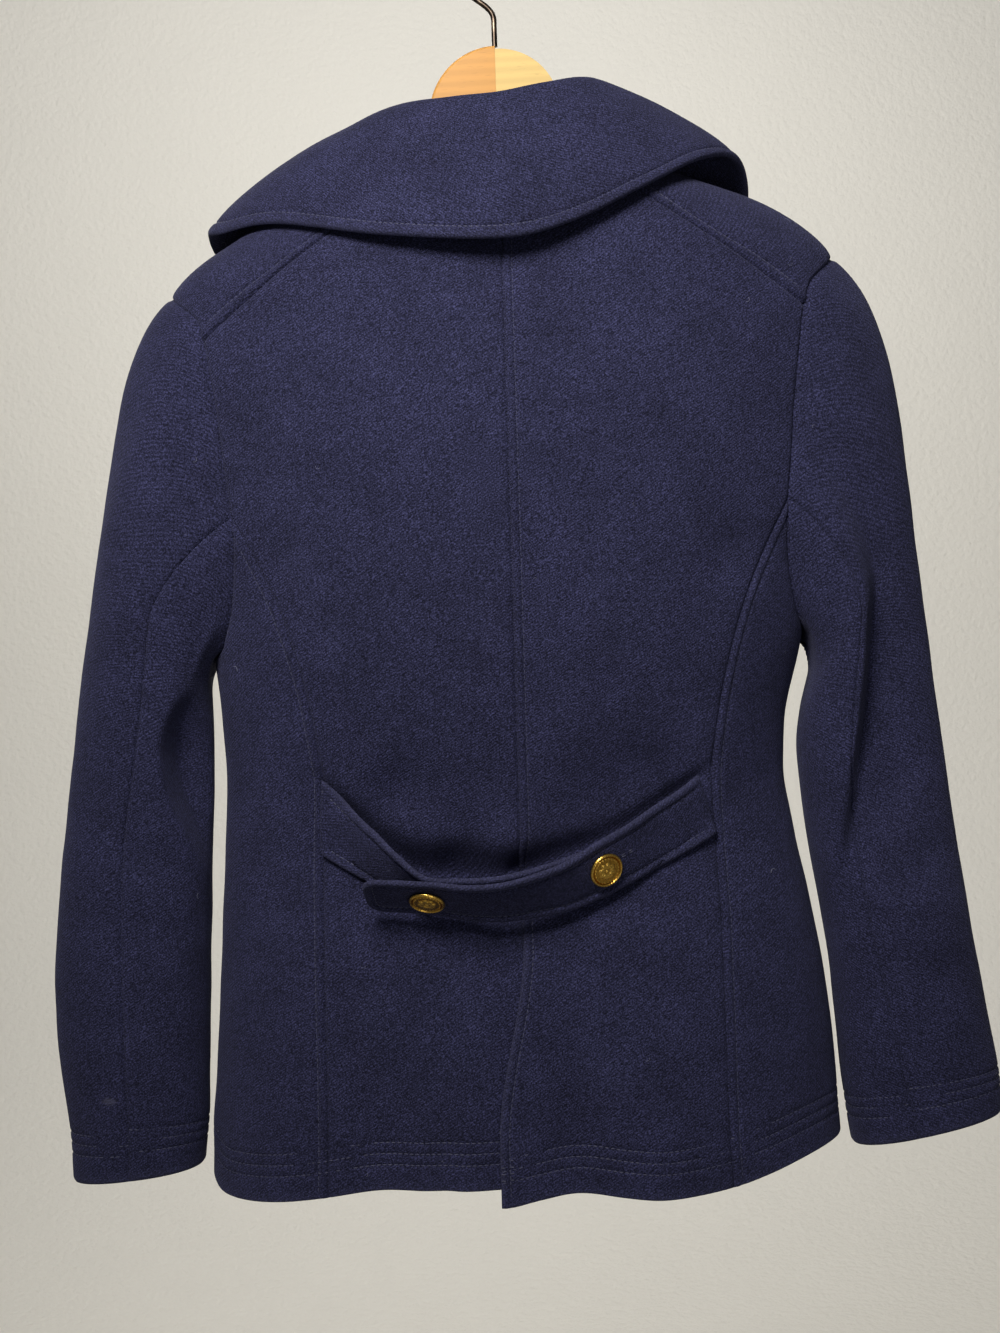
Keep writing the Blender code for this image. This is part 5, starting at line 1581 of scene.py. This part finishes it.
class COAT_OT_buttons(CoatPiece, bpy.types.Operator):
    """Build the two belt buttons and the six front buttons"""
    bl_idname = "coat.buttons"
    bl_label = "Buttons"

    def execute(self, context):
        for x, word in zip(BELT_BUTTONS, ("right", "left")):
            button(f"gilt_belt_button_{word}", belt_seat(x), "gilt_buttons")
        for row, z in enumerate(FRONT_BUTTON_ROWS, 1):
            for x, word in ((-FRONT_BUTTON_X, "left"), (FRONT_BUTTON_X, "right")):
                button(f"gilt_front_button_{word}_{row}", front_seat(x, z), "gilt_buttons")
        return {"FINISHED"}


# Outline of the hanger's right arm, as (x, z): along its top, round its tip, and back below.
ARM_TOP = ((45, -106), (51, -120), (57, -138), (67, -154), (80, -162.5), (104, -171.5), (136, -184),
           (166, -197), (186, -209), (195, -219))
ARM_TIP = ((196, -227), (190, -231.5), (181, -229))
ARM_UNDER = ((160, -217), (128, -203), (92, -189), (40, -174), (18, -169), (0, -168))
DOME_RADIUS, WOOD_BEVEL, GLUE_GAP = 45.0, 2.6, 0.03
WELD = 0.00001           # metres


def smoothed(points, times=2):
    """Corners cut off an open line, twice, with its ends kept."""
    points = np.array(points, float)
    for _ in range(times):
        near, far = points[:-1] * 0.75 + points[1:] * 0.25, points[:-1] * 0.25 + points[1:] * 0.75
        points = np.concatenate([points[:1], np.stack([near, far], 1).reshape(-1, 2), points[-1:]])
    return points


def hanger_half(name, side, material):
    """One of the two glued boards of the hanger, with rounded edges."""
    arc = np.radians(np.linspace(0, 74, 25))
    dome = np.stack([DOME_RADIUS * np.sin(arc), HANGER_TOP - DOME_RADIUS + DOME_RADIUS * np.cos(arc)], -1)
    rest = smoothed([dome[-1], *ARM_TOP[1:], *ARM_TIP, *ARM_UNDER])
    points = np.concatenate([dome, rest[1:]])
    run = np.gradient(points, axis=0)
    run /= np.linalg.norm(run, axis=1, keepdims=True)
    points = points + WOOD_BEVEL * np.stack([run[:, 1], -run[:, 0]], -1)
    points[:, 0] = np.maximum(points[:, 0], WOOD_BEVEL + GLUE_GAP)
    curve = bpy.data.curves.new(name, "CURVE")
    curve.dimensions, curve.fill_mode = "2D", "BOTH"
    curve.extrude = (HANGER_THICK / 2 - WOOD_BEVEL) * MM
    curve.bevel_depth, curve.bevel_resolution = WOOD_BEVEL * MM, 5
    spline = curve.splines.new("POLY")
    spline.points.add(len(points) - 1)
    for point, (x, z) in zip(spline.points, points):
        point.co = (side * x * MM, (z + LEAN * side * x) * MM, 0, 1)
    spline.use_cyclic_u = True
    made = in_scene(name, curve)
    made.matrix_world = Matrix.Rotation(math.radians(90), 4, "X")
    mesh = whole_mesh(made, name)
    for vertex in mesh.vertices:
        if abs(vertex.co.x) < (WOOD_BEVEL + 1.2) * MM:
            vertex.co.x = side * GLUE_GAP * MM
    face_out(mesh, WELD)
    mesh.shade_smooth()
    mesh.set_sharp_from_angle(angle=math.radians(35))
    return finished(name, mesh, material)


def hook_line():
    """The wire's centreline: up the shank, out to the left and over the loop, as (x, z)."""
    centre = WIRE_RADIUS - HOOK_LOOP_RADIUS
    shank = [(0.0, z) for z in stations(HANGER_TOP + 0.35, HOOK_SHANK_TOP - 4, 3.0)]
    start = math.radians(222)
    entry = (HOOK_LOOP_RADIUS * math.cos(start), centre + HOOK_LOOP_RADIUS * math.sin(start))
    leave = (0.0, shank[-1][1] + 9)
    arrive = (entry[0] + 6.0, entry[1] - 7.0)
    t = np.linspace(0, 1, 13)[1:-1, None]
    bend = bezier(*(np.array(p) for p in (shank[-1], leave, arrive, entry)), t)
    loop = [(HOOK_LOOP_RADIUS * math.cos(a), centre + HOOK_LOOP_RADIUS * math.sin(a))
            for a in np.radians(stations(222, -25, 5.0))]
    return shank + [tuple(p) for p in bend] + loop


def hook(name, material):
    curve = bpy.data.curves.new(name, "CURVE")
    curve.dimensions, curve.use_fill_caps = "3D", True
    curve.bevel_depth, curve.bevel_resolution = WIRE_RADIUS * MM, 6
    spline = curve.splines.new("POLY")
    line = hook_line()
    spline.points.add(len(line) - 1)
    for k, (point, (x, z)) in enumerate(zip(spline.points, line)):
        point.co = (x * MM, 0, z * MM, 1)
        point.radius = min(1.0, 0.55 + 0.25 * (len(line) - 1 - k))
    made = in_scene(name, curve)
    mesh = whole_mesh(made, name)
    face_out(mesh, WELD)
    mesh.shade_smooth()
    mesh.set_sharp_from_angle(angle=math.radians(60))
    return finished(name, mesh, material)


class COAT_OT_hanger(CoatPiece, bpy.types.Operator):
    """Build the two-board wooden hanger and its wire hook"""
    bl_idname = "coat.hanger"
    bl_label = "Hanger"

    def execute(self, context):
        looks = settings()
        for side, word, colour in ((-1, "left", looks.wood_left), (1, "right", looks.wood_right)):
            piece = hanger_half(f"hanger_board_{word}", side, board(f"varnished_softwood_{word}", colour[:]))
            whole_piece(piece, f"hanger_wood_{word}", f"hanger_{word}")
        whole_piece(hook("hook_wire", wire(looks.steel[:])), "hook_steel", "hanger_hook")
        return {"FINISHED"}


CAMERA_AT = (-0.0094, -1.350, -0.4886)          # metres
CAMERA_ROLL = -1.8                               # degrees
CAMERA_VIEW = 36.6                               # degrees from bottom to top
FLOOR_Z, WALL_Y, COVE = -1.9, 4.4, 1.6


def lamp(name, place, aim, size, power, colour, spread=180):
    """A round area light. place, aim and size are in metres, power in watts and spread in degrees."""
    light = bpy.data.lights.new(name, "AREA")
    light.spread = math.radians(spread)
    light.shape, light.size, light.energy, light.color = "DISK", size, power, colour
    made = in_scene(name, light)
    made.location = place
    made.rotation_euler = (Vector(aim) - Vector(place)).to_track_quat("-Z", "Y").to_euler()
    return made


ROLLER_SIZE = 180.0      # mm between the paler and darker passes of the roller
PEEL_SIZE = 15.0         # mm between its dimples; 4 mm in truth, drawn coarser for a wall far behind


def plaster(colour):
    """Matt emulsion on a smooth wall: flat and dull, with the fine dimples that a paint roller leaves."""
    material, tree, shader = new_material("studio_plaster", {"Roughness": 1.0, "Specular IOR Level": 0.0})
    where = add(tree, "ShaderNodeTexCoord").outputs["Object"]
    roller = add(tree, "ShaderNodeTexNoise", {
        "Vector": where, "Scale": noise_scale(ROLLER_SIZE), "Detail": 2.0})
    tone = add(tree, "ShaderNodeMix", {0: roller.outputs["Fac"], 6: colour4(colour, 0.985),
                                       7: colour4(colour, 1.015)}, **MIX)
    tree.links.new(tone.outputs[2], shader.inputs["Base Color"])
    peel = add(tree, "ShaderNodeTexNoise", {"Vector": where, "Scale": noise_scale(PEEL_SIZE), "Detail": 2.0})
    raised = add(tree, "ShaderNodeBump", {"Height": peel.outputs["Fac"], "Strength": 0.9, "Distance": 4 * MM})
    tree.links.new(raised.outputs["Normal"], shader.inputs["Normal"])
    return material


class COAT_OT_stage(CoatPiece, bpy.types.Operator):
    """Set up the floor, the backdrop, the lights and the camera"""
    bl_idname = "coat.stage"
    bl_label = "Studio"

    def execute(self, context):
        scene = bpy.context.scene
        arc = np.radians(np.linspace(0, 90, 25))
        bend = zip(WALL_Y - COVE + COVE * np.sin(arc), FLOOR_Z + COVE - COVE * np.cos(arc))
        profile = [(-3.2, FLOOR_Z), *bend, (WALL_Y, 3.0)]
        mesh = bpy.data.meshes.new("studio_cove")
        mesh.from_pydata([(x, y, z) for y, z in profile for x in (-6.0, 6.0)], [],
                         [(2 * k, 2 * k + 1, 2 * k + 3, 2 * k + 2) for k in range(len(profile) - 1)])
        mesh.shade_smooth()
        cove = finished("studio_cove", mesh, plaster(settings().wall[:]))
        lamp("key", (-0.30, -1.14, 0.44), (0.02, 0, -0.25), 0.6, 5.5, (1.0, 0.97, 0.93), spread=80)
        lamp("fill", (0.5, -2.2, -1.1), (-0.05, 0, -0.5), 1.0, 4.5, (0.94, 0.96, 1.0))
        lamp("behind", (-1.2, 2.3, 1.1), (0, 0, -0.4), 1.4, 22, (1.0, 0.97, 0.93))
        lamp("wash", (-0.1, 1.2, 1.1), (0.1, 4.4, 0.7), 1.6, 108, (1.0, 0.99, 0.965))
        world = bpy.data.worlds.new("studio_air")
        world.use_nodes = True
        background = world.node_tree.nodes["Background"]
        background.inputs["Color"].default_value = (*linear("#EFEDE8"), 1)
        background.inputs["Strength"].default_value = 0.10
        scene.world = world
        camera = bpy.data.cameras.new("camera")
        camera.sensor_fit = "VERTICAL"
        camera.sensor_height = 36.0
        camera.lens = 18.0 / math.tan(math.radians(CAMERA_VIEW / 2))
        seen = in_scene("camera", camera)
        seen.matrix_world = (Matrix.Translation(CAMERA_AT) @ Matrix.Rotation(math.radians(90), 4, "X")
                             @ Matrix.Rotation(math.radians(CAMERA_ROLL), 4, "Z"))
        scene.camera = seen
        scene.view_settings.view_transform = "Standard"
        return {"FINISHED"}


class COAT_PT_panel(bpy.types.Panel):
    """Lists the coat's pieces, colours and sizes"""
    bl_idname = "COAT_PT_panel"
    bl_label = "Pea Coat"
    bl_space_type = "VIEW_3D"
    bl_region_type = "UI"
    bl_category = "Coat"

    def draw(self, context):
        for group_name in ("coat_looks", "coat_sizes"):
            values = getattr(context.scene, group_name)
            for label in values.__annotations__:
                self.layout.prop(values, label)
        for operator in OPERATORS:
            self.layout.operator(operator.bl_idname)


OPERATORS = (COAT_OT_back, COAT_OT_sides, COAT_OT_fronts, COAT_OT_sleeves, COAT_OT_collar, COAT_OT_belt,
             COAT_OT_buttons, COAT_OT_hanger, COAT_OT_stage)
CLASSES = (CoatLooks, CoatSizes, *OPERATORS, COAT_PT_panel)


def register():
    for kind in CLASSES:
        bpy.utils.register_class(kind)
    bpy.types.Scene.coat_looks = bpy.props.PointerProperty(type=CoatLooks)
    bpy.types.Scene.coat_sizes = bpy.props.PointerProperty(type=CoatSizes)


def unregister():
    del bpy.types.Scene.coat_looks, bpy.types.Scene.coat_sizes
    for kind in reversed(CLASSES):
        bpy.utils.unregister_class(kind)


def main():
    register()
    for operator in OPERATORS:
        getattr(bpy.ops.coat, operator.bl_idname.split(".")[1])()


if __name__ == "__main__":
    main()
